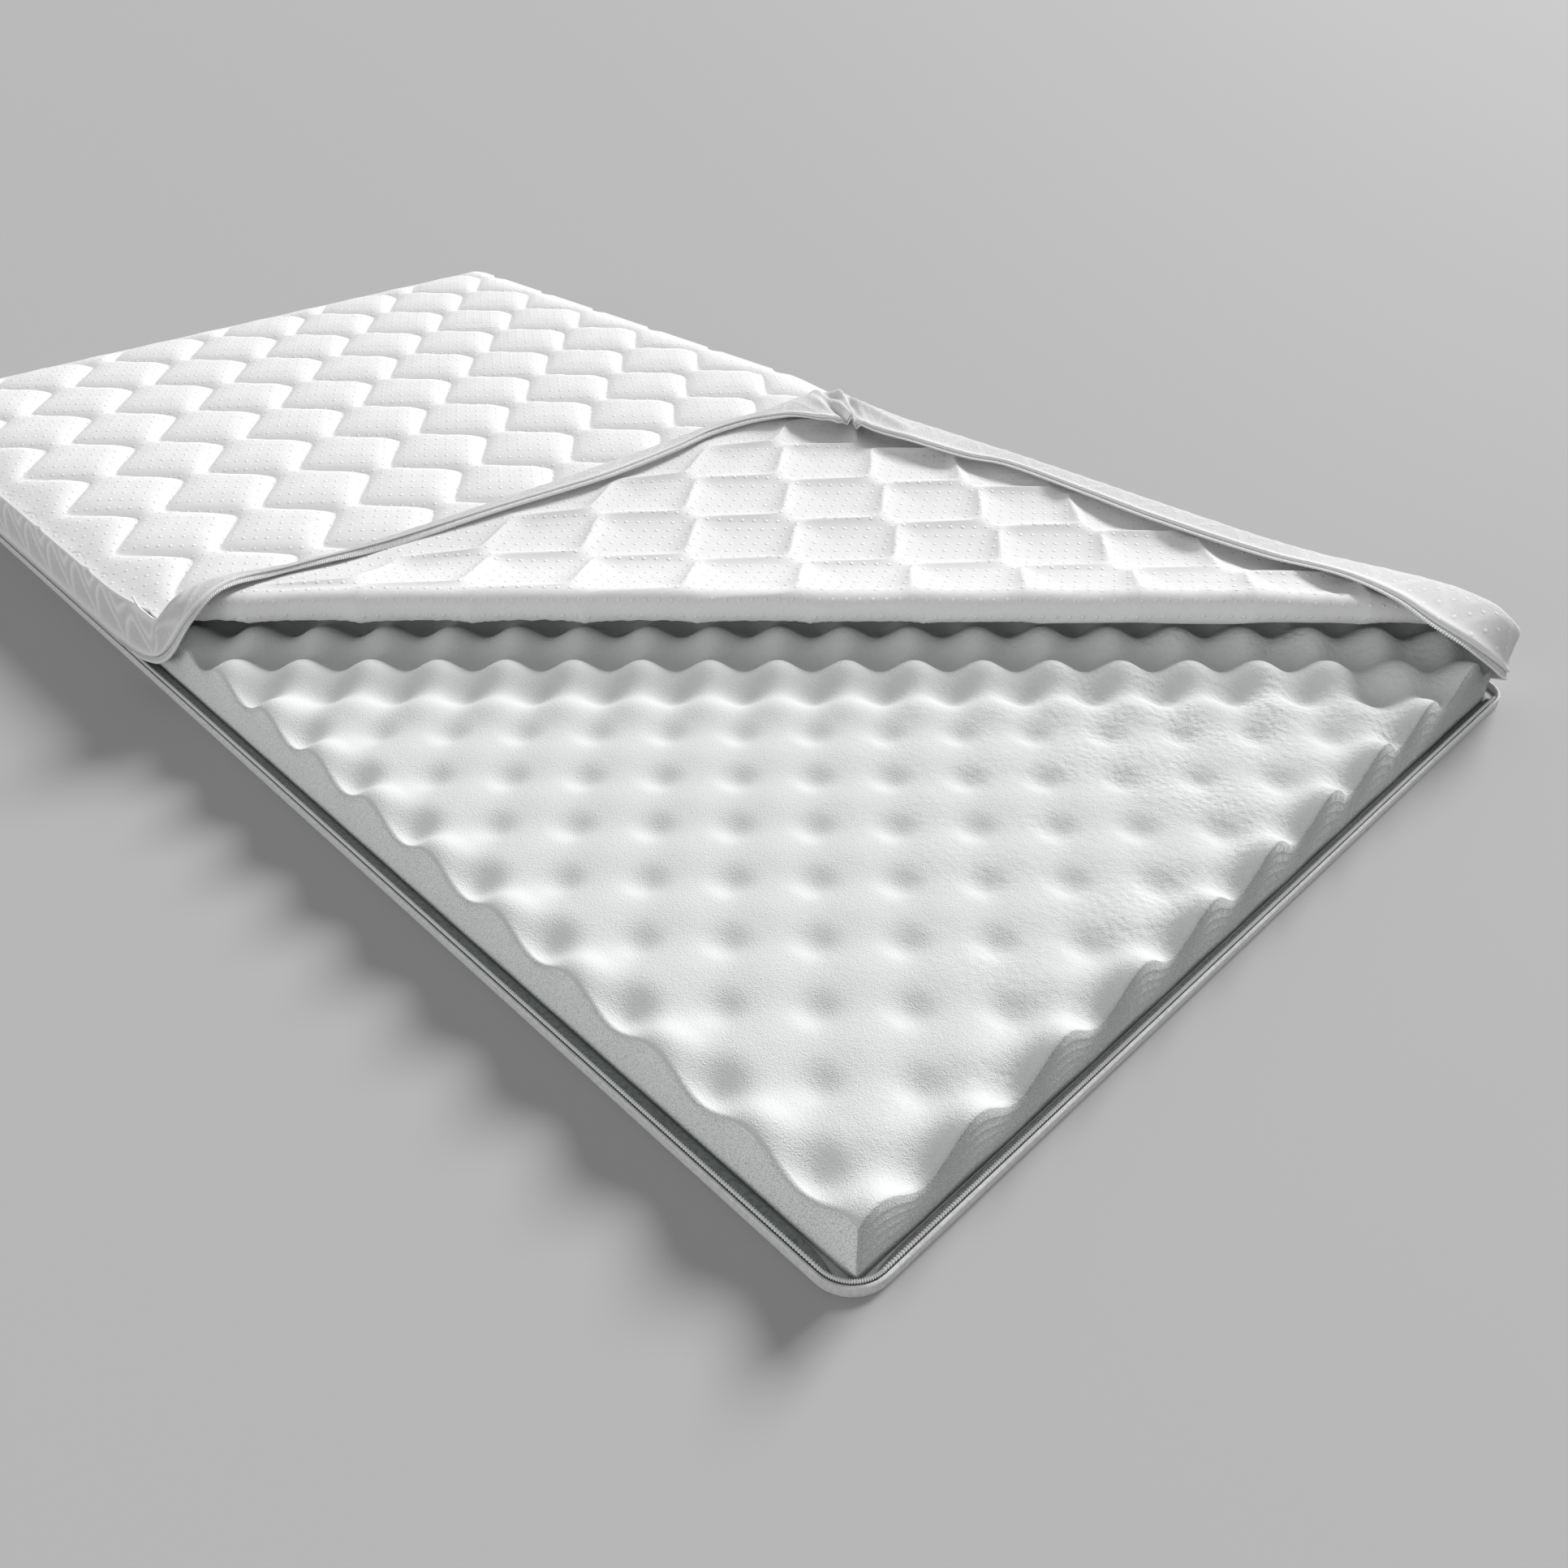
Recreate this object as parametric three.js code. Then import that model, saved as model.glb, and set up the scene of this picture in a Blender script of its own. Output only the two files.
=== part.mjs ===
// A mattress topper, half undressed: a foam core with an egg-crate top lies in a zip-off quilted cover,
// and the near corner of the cover's lid is folded back over itself, so that the foam shows.
// Millimetres. X runs along the short side, Y along the long side, +Z is up, and the floor is at z = 0.
// The origin is the middle of the footprint. The opened corner is the one at -X, -Y.

import * as THREE from "three";
import { mergeVertices } from "three/addons/utils/BufferGeometryUtils.js";

// Driving dimensions
const WIDTH = 1000;
const LENGTH = 1900;
const CORNER = 33;
const GAP = 0.3;

const BOTTOM_THICK = 3;
const BINDING_HEIGHT = 10;
const BINDING_THICK = 3;

const FOAM_INSET_X = 17;
const FOAM_INSET_Y = 13;
const FOAM_MIDDLE = 66;
const FOAM_SWING = 14.5;
const FOAM_CORNER_SAG = 13;
const FOAM_PERIOD = 95;
const FIRST_DIMPLE_X = 16;
const FIRST_DIMPLE_Y = 51;
const FOAM_CORNER = 24;
const FOAM_FACET = 34;
const FOAM_FACETED_FROM = -75;
const CRATE_START = -100;
const CRATE_BLEND = 40;

const PANEL_LEVEL = 90;
const PAD_HALF = 6;
const SEAM_HALF = 2.5;
const SHOULDER_DROP = 2.5;
const SHOULDER_WIDTH = 28;
const SHOULDER_ROW = 23;

const QUILT_SPACING = 86;
const QUILT_WAVE = 148;
const QUILT_SWING = 25;
const QUILT_START_X = -4;
const QUILT_START_Y = 137;
const PAD_RISE = 34;
const QUILT_HALF_COLUMNS = 11;
const LAST_ROW_GAP = 20;
const ROLL_FACET = 10.5;
const ROLL_FACET_LENGTH = 75;
const ROLL_BEFORE = 3;
const ROLL_AFTER = 5;
const RIM_FACET = 16;
const TIP_RIM_FACET = 26;
const TURN_BEFORE = 90;
const TURN_AFTER = 80;
const TIP_FROM = 400;

const ROLL_RADIUS = 16;
const ROLL_FLAT_LEFT = 0.32;
const ROLL_FLAT_RIGHT = 0.44;
const ROLL_ENDS = { left: 220, right: 340 };
const FLAP_REST = 2 * PAD_HALF + 1;
const FLAP_SETTLES = 130;
const TIP_PULL = 45;
const TIP_LIFT = 5;
const TIP_REACH = 260;
const DRAWN_IN_LEFT = 8;
const DRAWN_IN_RIGHT = 5;
const DRAWN_IN_REACH = 130;
const DRAWN_IN_BEFORE = 80;
const DRAWN_IN_AFTER = 90;
const SIDE_PULL = 22;
const SIDE_PULL_REACH = 170;
const SIDE_PULL_START = 20;
const PRESSED = 9;
const PRESSED_REACH = 120;
const FLAP_BORDER_SLACK = 1.5;
const SLACK_START = 30;
const SLACK_BLEND = 60;
const PRESS_ENDS_BEFORE = 100;
const ARCH_FULL = 6;
const HANDLE_PLAIN = 1 / 3;
const HANDLE_ARCHED = 0.7;

const BORDER_THICK = 4;
const BORDER_INSET = 0.7;
const BORDER_FOOT = 17;
const TAPE_THICK = 1.8;
const TAPE_WIDTH = 11.6;
const TAPE_AT_CORNER = 2.2;
const TAPE_SLUMP = 0.7;
const RIM_TAPE_START = 0.7;
const RIM_TAPE_END = 6.3;
const TAPE_Q = 100;
const LOWER_TAPE_START = 640;
const SLUMP_WAVE = 23;
const TAPE_TOP = BINDING_HEIGHT - 1;
const TAPE_FOOT = BOTTOM_THICK + 2.4;

// Places worked out from them
const HALF_X = WIDTH / 2;
const HALF_Y = LENGTH / 2;
const ROUND = 2 * (WIDTH + LENGTH);
const ROOT2 = Math.SQRT2;
const ROLL_LENGTH = Math.PI * ROLL_RADIUS;
const BORDER_MIDDLE = BORDER_INSET + BORDER_THICK / 2;
const PANEL_INSET = BORDER_INSET + BORDER_THICK + GAP;
const FOLD_SUM = HALF_X - HALF_Y;
const FOLD_RIGHT_END = (HALF_X + HALF_Y) / ROOT2;
const FOLD_LEFT_END = FOLD_RIGHT_END - WIDTH * ROOT2;

// The outline is walked from the corner at -X, +Y: down the left side, along the near short side,
// up the right side and back. Each corner is named by its distance along that walk.
const NEAR_LEFT = LENGTH;
const NEAR_RIGHT = LENGTH + WIDTH;
const FAR_RIGHT = 2 * LENGTH + WIDTH;
const LIFT_START = 790;
const LIFT_END = NEAR_RIGHT + 80;
const SIDE_STEP = 95;
const CORNER_STEP = 9.5;

// Small helpers
const clamp = (value, low, high) => Math.min(high, Math.max(low, value));
const smooth = (value) => {
  const k = clamp(value, 0, 1);
  return k * k * (3 - 2 * k);
};
const mix = (a, b, k) => a + (b - a) * k;

// A cubic curve through one column of a short table, by the distance along the outline.
function along(rows, place, column) {
  const last = rows.length - 1;
  let i = 0;
  while (i < last - 1 && place > rows[i + 1].at) i += 1;
  const slope = (k) => {
    const before = rows[Math.max(k - 1, 0)];
    const after = rows[Math.min(k + 1, last)];
    return (after[column] - before[column]) / (after.at - before.at);
  };
  const span = rows[i + 1].at - rows[i].at;
  const k = clamp((place - rows[i].at) / span, 0, 1);
  const a = rows[i][column];
  const b = rows[i + 1][column];
  const bend = (slope(i) * (1 - k) - slope(i + 1) * k) * span * k * (1 - k);
  return mix(a, b, k * k * (3 - 2 * k)) + bend;
}

// A point of the rounded outline, drawn in by an inset.
function outline(place, inset) {
  const e = ((place % ROUND) + ROUND) % ROUND;
  const radius = CORNER - inset;
  const corners = [
    { at: 0, x: -1, y: 1, turn: Math.PI / 2 },
    { at: NEAR_LEFT, x: -1, y: -1, turn: Math.PI },
    { at: NEAR_RIGHT, x: 1, y: -1, turn: 1.5 * Math.PI },
    { at: FAR_RIGHT, x: 1, y: 1, turn: 0 },
    { at: ROUND, x: -1, y: 1, turn: Math.PI / 2 },
  ];
  for (const c of corners) {
    const off = e - c.at;
    if (Math.abs(off) < CORNER) {
      const angle = c.turn + ((off + CORNER) / (2 * CORNER)) * (Math.PI / 2);
      const x = c.x * (HALF_X - CORNER) + radius * Math.cos(angle);
      const y = c.y * (HALF_Y - CORNER) + radius * Math.sin(angle);
      return [x, y];
    }
  }
  if (e < NEAR_LEFT) return [-HALF_X + inset, HALF_Y - e];
  if (e < NEAR_RIGHT) return [-HALF_X + (e - NEAR_LEFT), -HALF_Y + inset];
  if (e < FAR_RIGHT) return [HALF_X - inset, -HALF_Y + (e - NEAR_RIGHT)];
  return [HALF_X - (e - FAR_RIGHT), HALF_Y - inset];
}

// How far a point lies beyond the fold line, towards the opened corner.
const beyondFold = (x, y) => (FOLD_SUM - x - y) / ROOT2;

// The topper is pressed lower along the right side, from the fold's end to the flap's tip.
function pressed(x, y) {
  return PRESSED * smooth(1 - (HALF_X - x) / PRESSED_REACH) * (1 - smooth(y / PRESSED_REACH));
}

// The roll is full in its middle and pressed flatter at its two ends.
function rollHeight(u, v) {
  const t = (u - v) / ROOT2;
  const right = 1 - smooth((FOLD_RIGHT_END - t) / ROLL_ENDS.right);
  const left = 1 - smooth((t - FOLD_LEFT_END) / ROLL_ENDS.left);
  return 1 - ROLL_FLAT_RIGHT * right - ROLL_FLAT_LEFT * left;
}

// The lid's cloth, cut flat at (u, v), is rolled over the fold line and laid back on itself.
// h is the distance from the cloth's middle towards its outer face.
function lid(u, v, h) {
  const s = beyondFold(u, v);
  const edge = Math.min(HALF_X - Math.abs(u), HALF_Y - Math.abs(v));
  const shoulder = SHOULDER_DROP * (1 - smooth((edge - BORDER_MIDDLE) / SHOULDER_WIDTH));
  const outward = h - shoulder;
  const height = rollHeight(u, v);
  let reach = s;
  let z = PANEL_LEVEL + outward;
  if (s > 0 && s < ROLL_LENGTH) {
    const turn = s / ROLL_RADIUS;
    reach = (ROLL_RADIUS - outward) * Math.sin(turn);
    z = PANEL_LEVEL + height * ROLL_RADIUS * (1 - Math.cos(turn)) + outward * Math.cos(turn);
  }
  if (s >= ROLL_LENGTH) {
    const back = s - ROLL_LENGTH;
    const tip = smooth(1 - Math.hypot(u + HALF_X, v + HALF_Y) / TIP_REACH);
    const lift = mix(2 * ROLL_RADIUS * height, FLAP_REST, smooth(back / FLAP_SETTLES));
    reach = TIP_PULL * tip - back;
    z = PANEL_LEVEL + lift + TIP_LIFT * tip - outward;
  }
  const atFold = smooth(s / DRAWN_IN_BEFORE + 1) * (1 - smooth((s - ROLL_LENGTH) / DRAWN_IN_AFTER));
  const t = (u - v) / ROOT2;
  const left = DRAWN_IN_LEFT * atFold * (1 - smooth((t - FOLD_LEFT_END) / DRAWN_IN_REACH));
  const right = DRAWN_IN_RIGHT * atFold * (1 - smooth((FOLD_RIGHT_END - t) / DRAWN_IN_REACH));
  const laidBack = smooth((s - ROLL_LENGTH - SIDE_PULL_START) / SIDE_PULL_REACH);
  const besideEdge = 1 - smooth((v + HALF_Y - PANEL_INSET) / SIDE_PULL_REACH);
  const pull = SIDE_PULL * laidBack * besideEdge * smooth((u + HALF_X) / SIDE_PULL_REACH);
  const x = u + (s - reach) / ROOT2 + left - pull;
  const y = v + (s - reach) / ROOT2 + right;
  return new THREE.Vector3(x, y, z - pressed(x, y));
}

// The zigzag quilting lines run along Y. Neighbours are half a wave apart.
const triangleWave = (x) => {
  const k = x - Math.floor(x);
  return 4 * Math.abs(k - 0.5) - 1;
};
const quiltLine = (k, v) => {
  const swing = QUILT_SWING * triangleWave((v - QUILT_START_Y) / QUILT_WAVE + k / 2);
  return QUILT_START_X + QUILT_SPACING * k - swing;
};

// Half the panel's thickness: thin along the quilting and at the edge, full on the pads.
function panelHalf(u, v) {
  const nearest = Math.round((u - QUILT_START_X) / QUILT_SPACING);
  let seam = Infinity;
  for (let k = nearest - 1; k <= nearest + 1; k += 1) {
    seam = Math.min(seam, Math.abs(u - quiltLine(k, v)));
  }
  const edge = Math.min(HALF_X - PANEL_INSET - Math.abs(u), HALF_Y - PANEL_INSET - Math.abs(v));
  return SEAM_HALF + (PAD_HALF - SEAM_HALF) * smooth(seam / PAD_RISE) * smooth(edge / SHOULDER_WIDTH);
}

// Rounds the corners of a rectangle, by drawing each corner square in to a quarter disc.
function roundCorner(u, v, halfX, halfY, radius) {
  const a = (Math.abs(u) - halfX + radius) / radius;
  const b = (Math.abs(v) - halfY + radius) / radius;
  if (a <= 0 || b <= 0) return [u, v];
  const x = halfX - radius + radius * a * Math.sqrt(1 - (b * b) / 2);
  const y = halfY - radius + radius * b * Math.sqrt(1 - (a * a) / 2);
  return [Math.sign(u) * x, Math.sign(v) * y];
}

// Keeps positions alone, with shared vertices joined.
function joined(geometry) {
  geometry.deleteAttribute("normal");
  geometry.deleteAttribute("uv");
  return mergeVertices(geometry, 1e-4);
}

// Moves every vertex of a geometry by a function of its place.
function moved(geometry, place) {
  const position = geometry.getAttribute("position");
  const point = new THREE.Vector3();
  for (let i = 0; i < position.count; i += 1) {
    point.fromBufferAttribute(position, i);
    const to = place(point.x, point.y, point.z);
    position.setXYZ(i, to.x, to.y, to.z);
  }
  return geometry;
}

// Splits the edges that a measure calls longer than 1, on both of their triangles at once, so that the
// surface stays closed. The longest edge of a triangle is always split first.
function refined(geometry, measure) {
  const position = geometry.getAttribute("position");
  const points = [];
  for (let i = 0; i < position.count; i += 1) {
    points.push(new THREE.Vector3().fromBufferAttribute(position, i));
  }
  const index = geometry.getIndex().array;
  let triangles = [];
  for (let i = 0; i < index.length; i += 3) triangles.push([index[i], index[i + 1], index[i + 2]]);
  const key = (a, b) => (a < b ? `${a}_${b}` : `${b}_${a}`);
  const sizes = new Map();
  const size = (a, b) => {
    const name = key(a, b);
    if (!sizes.has(name)) {
      const tie = 1e-6 * points[a].distanceTo(points[b]);
      sizes.set(name, measure(points[a], points[b]) + tie);
    }
    return sizes.get(name);
  };
  const longest = (t) => {
    const edges = [[t[0], t[1], t[2]], [t[1], t[2], t[0]], [t[2], t[0], t[1]]];
    return edges.reduce((best, e) => (size(e[0], e[1]) > size(best[0], best[1]) ? e : best));
  };
  for (let round = 0; round < 12; round += 1) {
    const marks = new Set();
    for (const t of triangles) {
      const e = longest(t);
      if (size(e[0], e[1]) > 1) marks.add(key(e[0], e[1]));
    }
    if (marks.size === 0) break;
    let grown = true;
    while (grown) {
      grown = false;
      for (const t of triangles) {
        if (!t.some((a, i) => marks.has(key(a, t[(i + 1) % 3])))) continue;
        const e = longest(t);
        if (marks.has(key(e[0], e[1]))) continue;
        marks.add(key(e[0], e[1]));
        grown = true;
      }
    }
    const middles = new Map();
    const middle = (a, b) => {
      const name = key(a, b);
      if (!middles.has(name)) {
        middles.set(name, points.length);
        points.push(points[a].clone().add(points[b]).multiplyScalar(0.5));
      }
      return middles.get(name);
    };
    const next = [];
    const divide = (t) => {
      const edges = [[t[0], t[1], t[2]], [t[1], t[2], t[0]], [t[2], t[0], t[1]]];
      const marked = edges.filter((e) => marks.has(key(e[0], e[1])));
      if (marked.length === 0) {
        next.push(t);
        return;
      }
      const [a, b, c] = marked.reduce((best, e) => (size(e[0], e[1]) > size(best[0], best[1]) ? e : best));
      const m = middle(a, b);
      divide([a, m, c]);
      divide([m, b, c]);
    };
    triangles.forEach(divide);
    triangles = next;
  }
  const result = new THREE.BufferGeometry();
  result.setAttribute("position", new THREE.Float32BufferAttribute(points.flatMap((p) => p.toArray()), 3));
  result.setIndex(triangles.flat());
  return result;
}

// A closed band right round the topper: stations along the outline, and a ring of points at each.
function band(stations, ringCount, place) {
  const geometry = new THREE.TorusGeometry(2, 1, ringCount, stations.length);
  const uv = geometry.getAttribute("uv");
  const position = geometry.getAttribute("position");
  for (let i = 0; i < position.count; i += 1) {
    const station = Math.round(uv.getX(i) * stations.length) % stations.length;
    const ring = Math.round(uv.getY(i) * ringCount) % ringCount;
    const to = place(stations[station], ring);
    position.setXYZ(i, to.x, to.y, to.z);
  }
  return joined(geometry);
}

// Stations along the outline, evenly between marks. Each mark gives the step as far as the next one.
function stationsThrough(marks) {
  const list = [];
  for (let i = 0; i + 1 < marks.length; i += 1) {
    const span = marks[i + 1].at - marks[i].at;
    const count = Math.max(1, Math.round(span / marks[i].step));
    for (let k = 0; k < count; k += 1) list.push(marks[i].at + (span * k) / count);
  }
  return list;
}
const PLAIN_STATIONS = stationsThrough([
  { at: -CORNER, step: CORNER_STEP },
  { at: CORNER, step: SIDE_STEP },
  { at: NEAR_LEFT - CORNER, step: CORNER_STEP },
  { at: NEAR_LEFT + CORNER, step: SIDE_STEP },
  { at: NEAR_RIGHT - CORNER, step: CORNER_STEP },
  { at: NEAR_RIGHT + CORNER, step: SIDE_STEP },
  { at: FAR_RIGHT - CORNER, step: CORNER_STEP },
  { at: FAR_RIGHT + CORNER, step: SIDE_STEP },
  { at: ROUND - CORNER, step: SIDE_STEP },
]);

// The free rim of the side border: straight down where the lid is in place, and along this line where
// the flap's border has fallen inwards over the flap. Rise is how far it first stands up off the panel,
// bow is how far it first leans out, and arch is how far it bows up before its rim.
const RIM_LINE = [
  { at: 790, x: -496, y: 160, z: 17, rise: 20, arch: 0, bow: 0 },
  { at: 825, x: -496, y: 122, z: 21, rise: 18, arch: 0, bow: 0 },
  { at: 865, x: -496, y: 78, z: 33, rise: 14, arch: 0, bow: 0 },
  { at: 900, x: -496, y: 38, z: 50, rise: 8, arch: 0, bow: 0 },
  { at: 935, x: -493, y: 0, z: 76, rise: 10, arch: 4, bow: 4 },
  { at: 971, x: -474, y: -20, z: 108, rise: 14, arch: 9, bow: 6 },
  { at: 1010, x: -440, y: -22, z: 127, rise: 16, arch: 11, bow: 8 },
  { at: 1060, x: -388, y: -18, z: 127, rise: 16, arch: 11, bow: 8 },
  { at: 1120, x: -320, y: -16, z: 122, rise: 15, arch: 10, bow: 8 },
  { at: 1200, x: -237, y: -20, z: 114, rise: 14, arch: 10, bow: 8 },
  { at: 1330, x: -103, y: -38, z: 112.5, rise: 14, arch: 8, bow: 8 },
  { at: 1450, x: 15, y: -60, z: 112, rise: 14, arch: 8, bow: 8 },
  { at: 1500, x: 64, y: -60, z: 112, rise: 14, arch: 8, bow: 8 },
  { at: 1590, x: 147, y: -48, z: 112.5, rise: 14, arch: 8, bow: 8 },
  { at: 1660, x: 213, y: -32, z: 115, rise: 14, arch: 11, bow: 8 },
  { at: 1730, x: 276, y: -44, z: 116, rise: 14, arch: 9, bow: 8 },
  { at: 1800, x: 314, y: -92, z: 118, rise: 17, arch: 8, bow: 8 },
  { at: 1860, x: 342, y: -122, z: 121, rise: 19, arch: 8, bow: 8 },
  { at: 1900, x: 350, y: -140, z: 122, rise: 19, arch: 10, bow: 8 },
  { at: 1940, x: 354, y: -156, z: 121, rise: 19, arch: 10, bow: 8 },
  { at: 2010, x: 360, y: -188, z: 118, rise: 18, arch: 10, bow: 8 },
  { at: 2090, x: 372, y: -226, z: 115, rise: 14, arch: 8, bow: 8 },
  { at: 2190, x: 386, y: -306, z: 112, rise: 14, arch: 8, bow: 8 },
  { at: 2260, x: 404, y: -358, z: 112, rise: 14, arch: 8, bow: 8 },
  { at: 2380, x: 400, y: -472, z: 112, rise: 14, arch: 8, bow: 8 },
  { at: 2480, x: 394, y: -570, z: 112, rise: 14, arch: 8, bow: 8 },
  { at: 2620, x: 396, y: -708, z: 113.5, rise: 14, arch: 8, bow: 8 },
  { at: 2700, x: 390, y: -790, z: 123, rise: 16, arch: 8, bow: 8 },
  { at: 2760, x: 376, y: -852, z: 125, rise: 18, arch: 11, bow: 8 },
  { at: 2800, x: 368, y: -894, z: 117, rise: 20, arch: 13, bow: 6 },
  { at: 2832, x: 386, y: -925, z: 99, rise: 17, arch: 10, bow: 4 },
  { at: 2865, x: 424, y: -944, z: 70, rise: 12, arch: 5, bow: 3 },
  { at: 2893, x: 464, y: -946.5, z: 44, rise: 8, arch: 0, bow: 0 },
  { at: 2916, x: 489, y: -941, z: 29, rise: 10, arch: 0, bow: 0 },
  { at: 2938, x: 495, y: -922, z: 21, rise: 16, arch: 0, bow: 0 },
  { at: 2980, x: 496, y: -870, z: 17, rise: 20, arch: 0, bow: 0 },
];

// The border is looser where the lid is folded back: 0 before and after, 1 along the flap.
function slackAlong(e) {
  const start = smooth((e - LIFT_START - SLACK_START) / SLACK_BLEND);
  return start * (1 - smooth((e - LIFT_END + PRESS_ENDS_BEFORE) / SLACK_BLEND));
}

// The middle surface of the side border. q runs from the seam with the panel, 0, to the free rim, 1,
// and past it for the zip tape.
function borderMiddle(e, q) {
  const loose = slackAlong(e);
  const inset = BORDER_MIDDLE - FLAP_BORDER_SLACK * loose;
  const [u, v] = outline(e, inset);
  const seam = lid(u, v, 0);
  const inward = lid(u, v, -1).sub(lid(u, v, 1)).normalize();
  const start = seam.clone().addScaledVector(inward, -SEAM_HALF);
  let rim = new THREE.Vector3(start.x, start.y, BORDER_FOOT);
  let rise = (start.z - BORDER_FOOT) * HANDLE_PLAIN;
  let arch = 0;
  let bow = 0;
  if (e > LIFT_START && e < LIFT_END) {
    rim = new THREE.Vector3(along(RIM_LINE, e, "x"), along(RIM_LINE, e, "y"), along(RIM_LINE, e, "z"));
    rise = along(RIM_LINE, e, "rise");
    arch = along(RIM_LINE, e, "arch");
    bow = along(RIM_LINE, e, "bow");
    rim.z -= pressed(rim.x, rim.y) * (1 - smooth((e - NEAR_RIGHT + PRESS_ENDS_BEFORE) / SLACK_BLEND));
  }
  const [nearU, nearV] = outline(e, inset + 1);
  const outward = seam.clone().sub(lid(nearU, nearV, 0)).normalize();
  const first = start.clone().addScaledVector(inward, rise).addScaledVector(outward, bow);
  const second = rim.clone().lerp(start, mix(HANDLE_PLAIN, HANDLE_ARCHED, smooth(arch / ARCH_FULL)));
  second.z += arch;
  const k = Math.min(q, 1);
  const curve = new THREE.CubicBezierCurve3(start, first, second, rim);
  const point = curve.getPoint(k);
  if (q > 1) {
    const tangent = curve.getTangent(1);
    point.addScaledVector(tangent, (q - 1) * TAPE_Q);
  }
  return point;
}

// A point on one face of the border or its tape, by the depth of that face from the middle surface.
function borderFace(e, q, depth) {
  const point = borderMiddle(e, q);
  const step = 0.5;
  const across = borderMiddle(e + step, q).sub(borderMiddle(e - step, q));
  const low = Math.max(q - 0.01, 0);
  const down = borderMiddle(e, q + 0.01).sub(borderMiddle(e, low));
  const normal = across.cross(down).normalize();
  return point.addScaledVector(normal, depth);
}

const colour = (hex, roughness) => new THREE.MeshStandardMaterial({ color: hex, roughness, metalness: 0 });
const knitWhite = colour(0xf2f3f2, 0.9);
const knitGrey = colour(0xd4d6d5, 0.9);
const foamWhite = colour(0xdce2e0, 0.95);
const tapeWhite = colour(0xe6e7e6, 0.8);

const topper = new THREE.Group();
function add(name, geometry, material) {
  const mesh = new THREE.Mesh(geometry, material);
  mesh.name = name;
  topper.add(mesh);
}

// The foam: an egg-crate top in the opened corner, and a plain top where the lid covers it.
function foamCore() {
  const sizeX = WIDTH - 2 * FOAM_INSET_X;
  const sizeY = LENGTH - 2 * FOAM_INSET_Y;
  const cells = [sizeX, sizeY].map((size) => Math.round(size / FOAM_PERIOD));
  const coarse = new THREE.BoxGeometry(sizeX, sizeY, 2, cells[0], cells[1], 1);
  const firstX = -HALF_X + FOAM_INSET_X + FIRST_DIMPLE_X;
  const firstY = -HALF_Y + FOAM_INSET_Y + FIRST_DIMPLE_Y;
  const turn = (2 * Math.PI) / FOAM_PERIOD;
  const measure = (a, b) => {
    const onTop = a.z > 0 && b.z > 0;
    const nearest = Math.max(beyondFold(a.x, a.y), beyondFold(b.x, b.y));
    return onTop && nearest > FOAM_FACETED_FROM ? a.distanceTo(b) / FOAM_FACET : 0;
  };
  const covered = PANEL_LEVEL - PAD_HALF - 2 * GAP;
  return moved(refined(joined(coarse), measure), (a, b, side) => {
    const opened = a < 0 && b < 0;
    const [x, y] = opened ? [a, b] : roundCorner(a, b, sizeX / 2, sizeY / 2, FOAM_CORNER);
    if (side < 0) return { x, y, z: BOTTOM_THICK + GAP };
    const crate = FOAM_MIDDLE - FOAM_SWING * Math.cos(turn * (x - firstX)) * Math.cos(turn * (y - firstY));
    const edge = Math.min(sizeX / 2 - Math.abs(x), sizeY / 2 - Math.abs(y));
    const sag = FOAM_CORNER_SAG * smooth(beyondFold(x, y) / (WIDTH / ROOT2));
    const plain = covered - 2 * SHOULDER_DROP * (1 - smooth(edge / SHOULDER_WIDTH));
    const z = mix(plain, crate - sag, smooth((beyondFold(x, y) - CRATE_START) / CRATE_BLEND)) - pressed(x, y);
    return { x, y, z };
  });
}

// The cover's bottom: a flat cloth with rounded corners.
function bottomPanel() {
  const inset = BINDING_THICK + GAP;
  const points = PLAIN_STATIONS.map((e) => {
    const [x, y] = outline(e, inset);
    return new THREE.Vector2(x, y);
  });
  const depth = { depth: BOTTOM_THICK, bevelEnabled: false };
  return joined(new THREE.ExtrudeGeometry(new THREE.Shape(points), depth));
}

// The pale bound edge that stands up round the bottom.
function edgeBinding() {
  return band(PLAIN_STATIONS, 4, (e, ring) => {
    const [x, y] = outline(e, ring < 2 ? 0 : BINDING_THICK);
    return { x, y, z: ring === 0 || ring === 3 ? 0 : BINDING_HEIGHT };
  });
}

// The lower half of the zip: a tape that slopes from the binding to the foot of the foam, where open.
function lowerZipTape() {
  const stations = stationsThrough([
    { at: LOWER_TAPE_START, step: 48 },
    { at: NEAR_LEFT - CORNER, step: 8 },
    { at: NEAR_LEFT + CORNER, step: 48 },
    { at: NEAR_RIGHT - CORNER, step: 48 },
  ]);
  const strip = new THREE.BoxGeometry(1, 1, 1, stations.length - 1, 2, 1);
  return moved(joined(strip), (a, b, side) => {
    const e = stations[Math.round((a + 0.5) * (stations.length - 1))];
    const k = b + 0.5;
    const room = e < NEAR_LEFT ? TAPE_WIDTH : TAPE_WIDTH - FOAM_INSET_X + FOAM_INSET_Y;
    const atCorner = Math.exp(-(((e - NEAR_LEFT) / CORNER) ** 2));
    const width = mix(room, TAPE_AT_CORNER, atCorner);
    const [x, y] = outline(e, BINDING_THICK + 2 * GAP + k * width);
    const slump = TAPE_SLUMP * Math.sin(e / SLUMP_WAVE) * Math.sin(Math.PI * k);
    const z = mix(TAPE_TOP, TAPE_FOOT, k) + slump + side * TAPE_THICK;
    return { x, y, z };
  });
}

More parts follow.
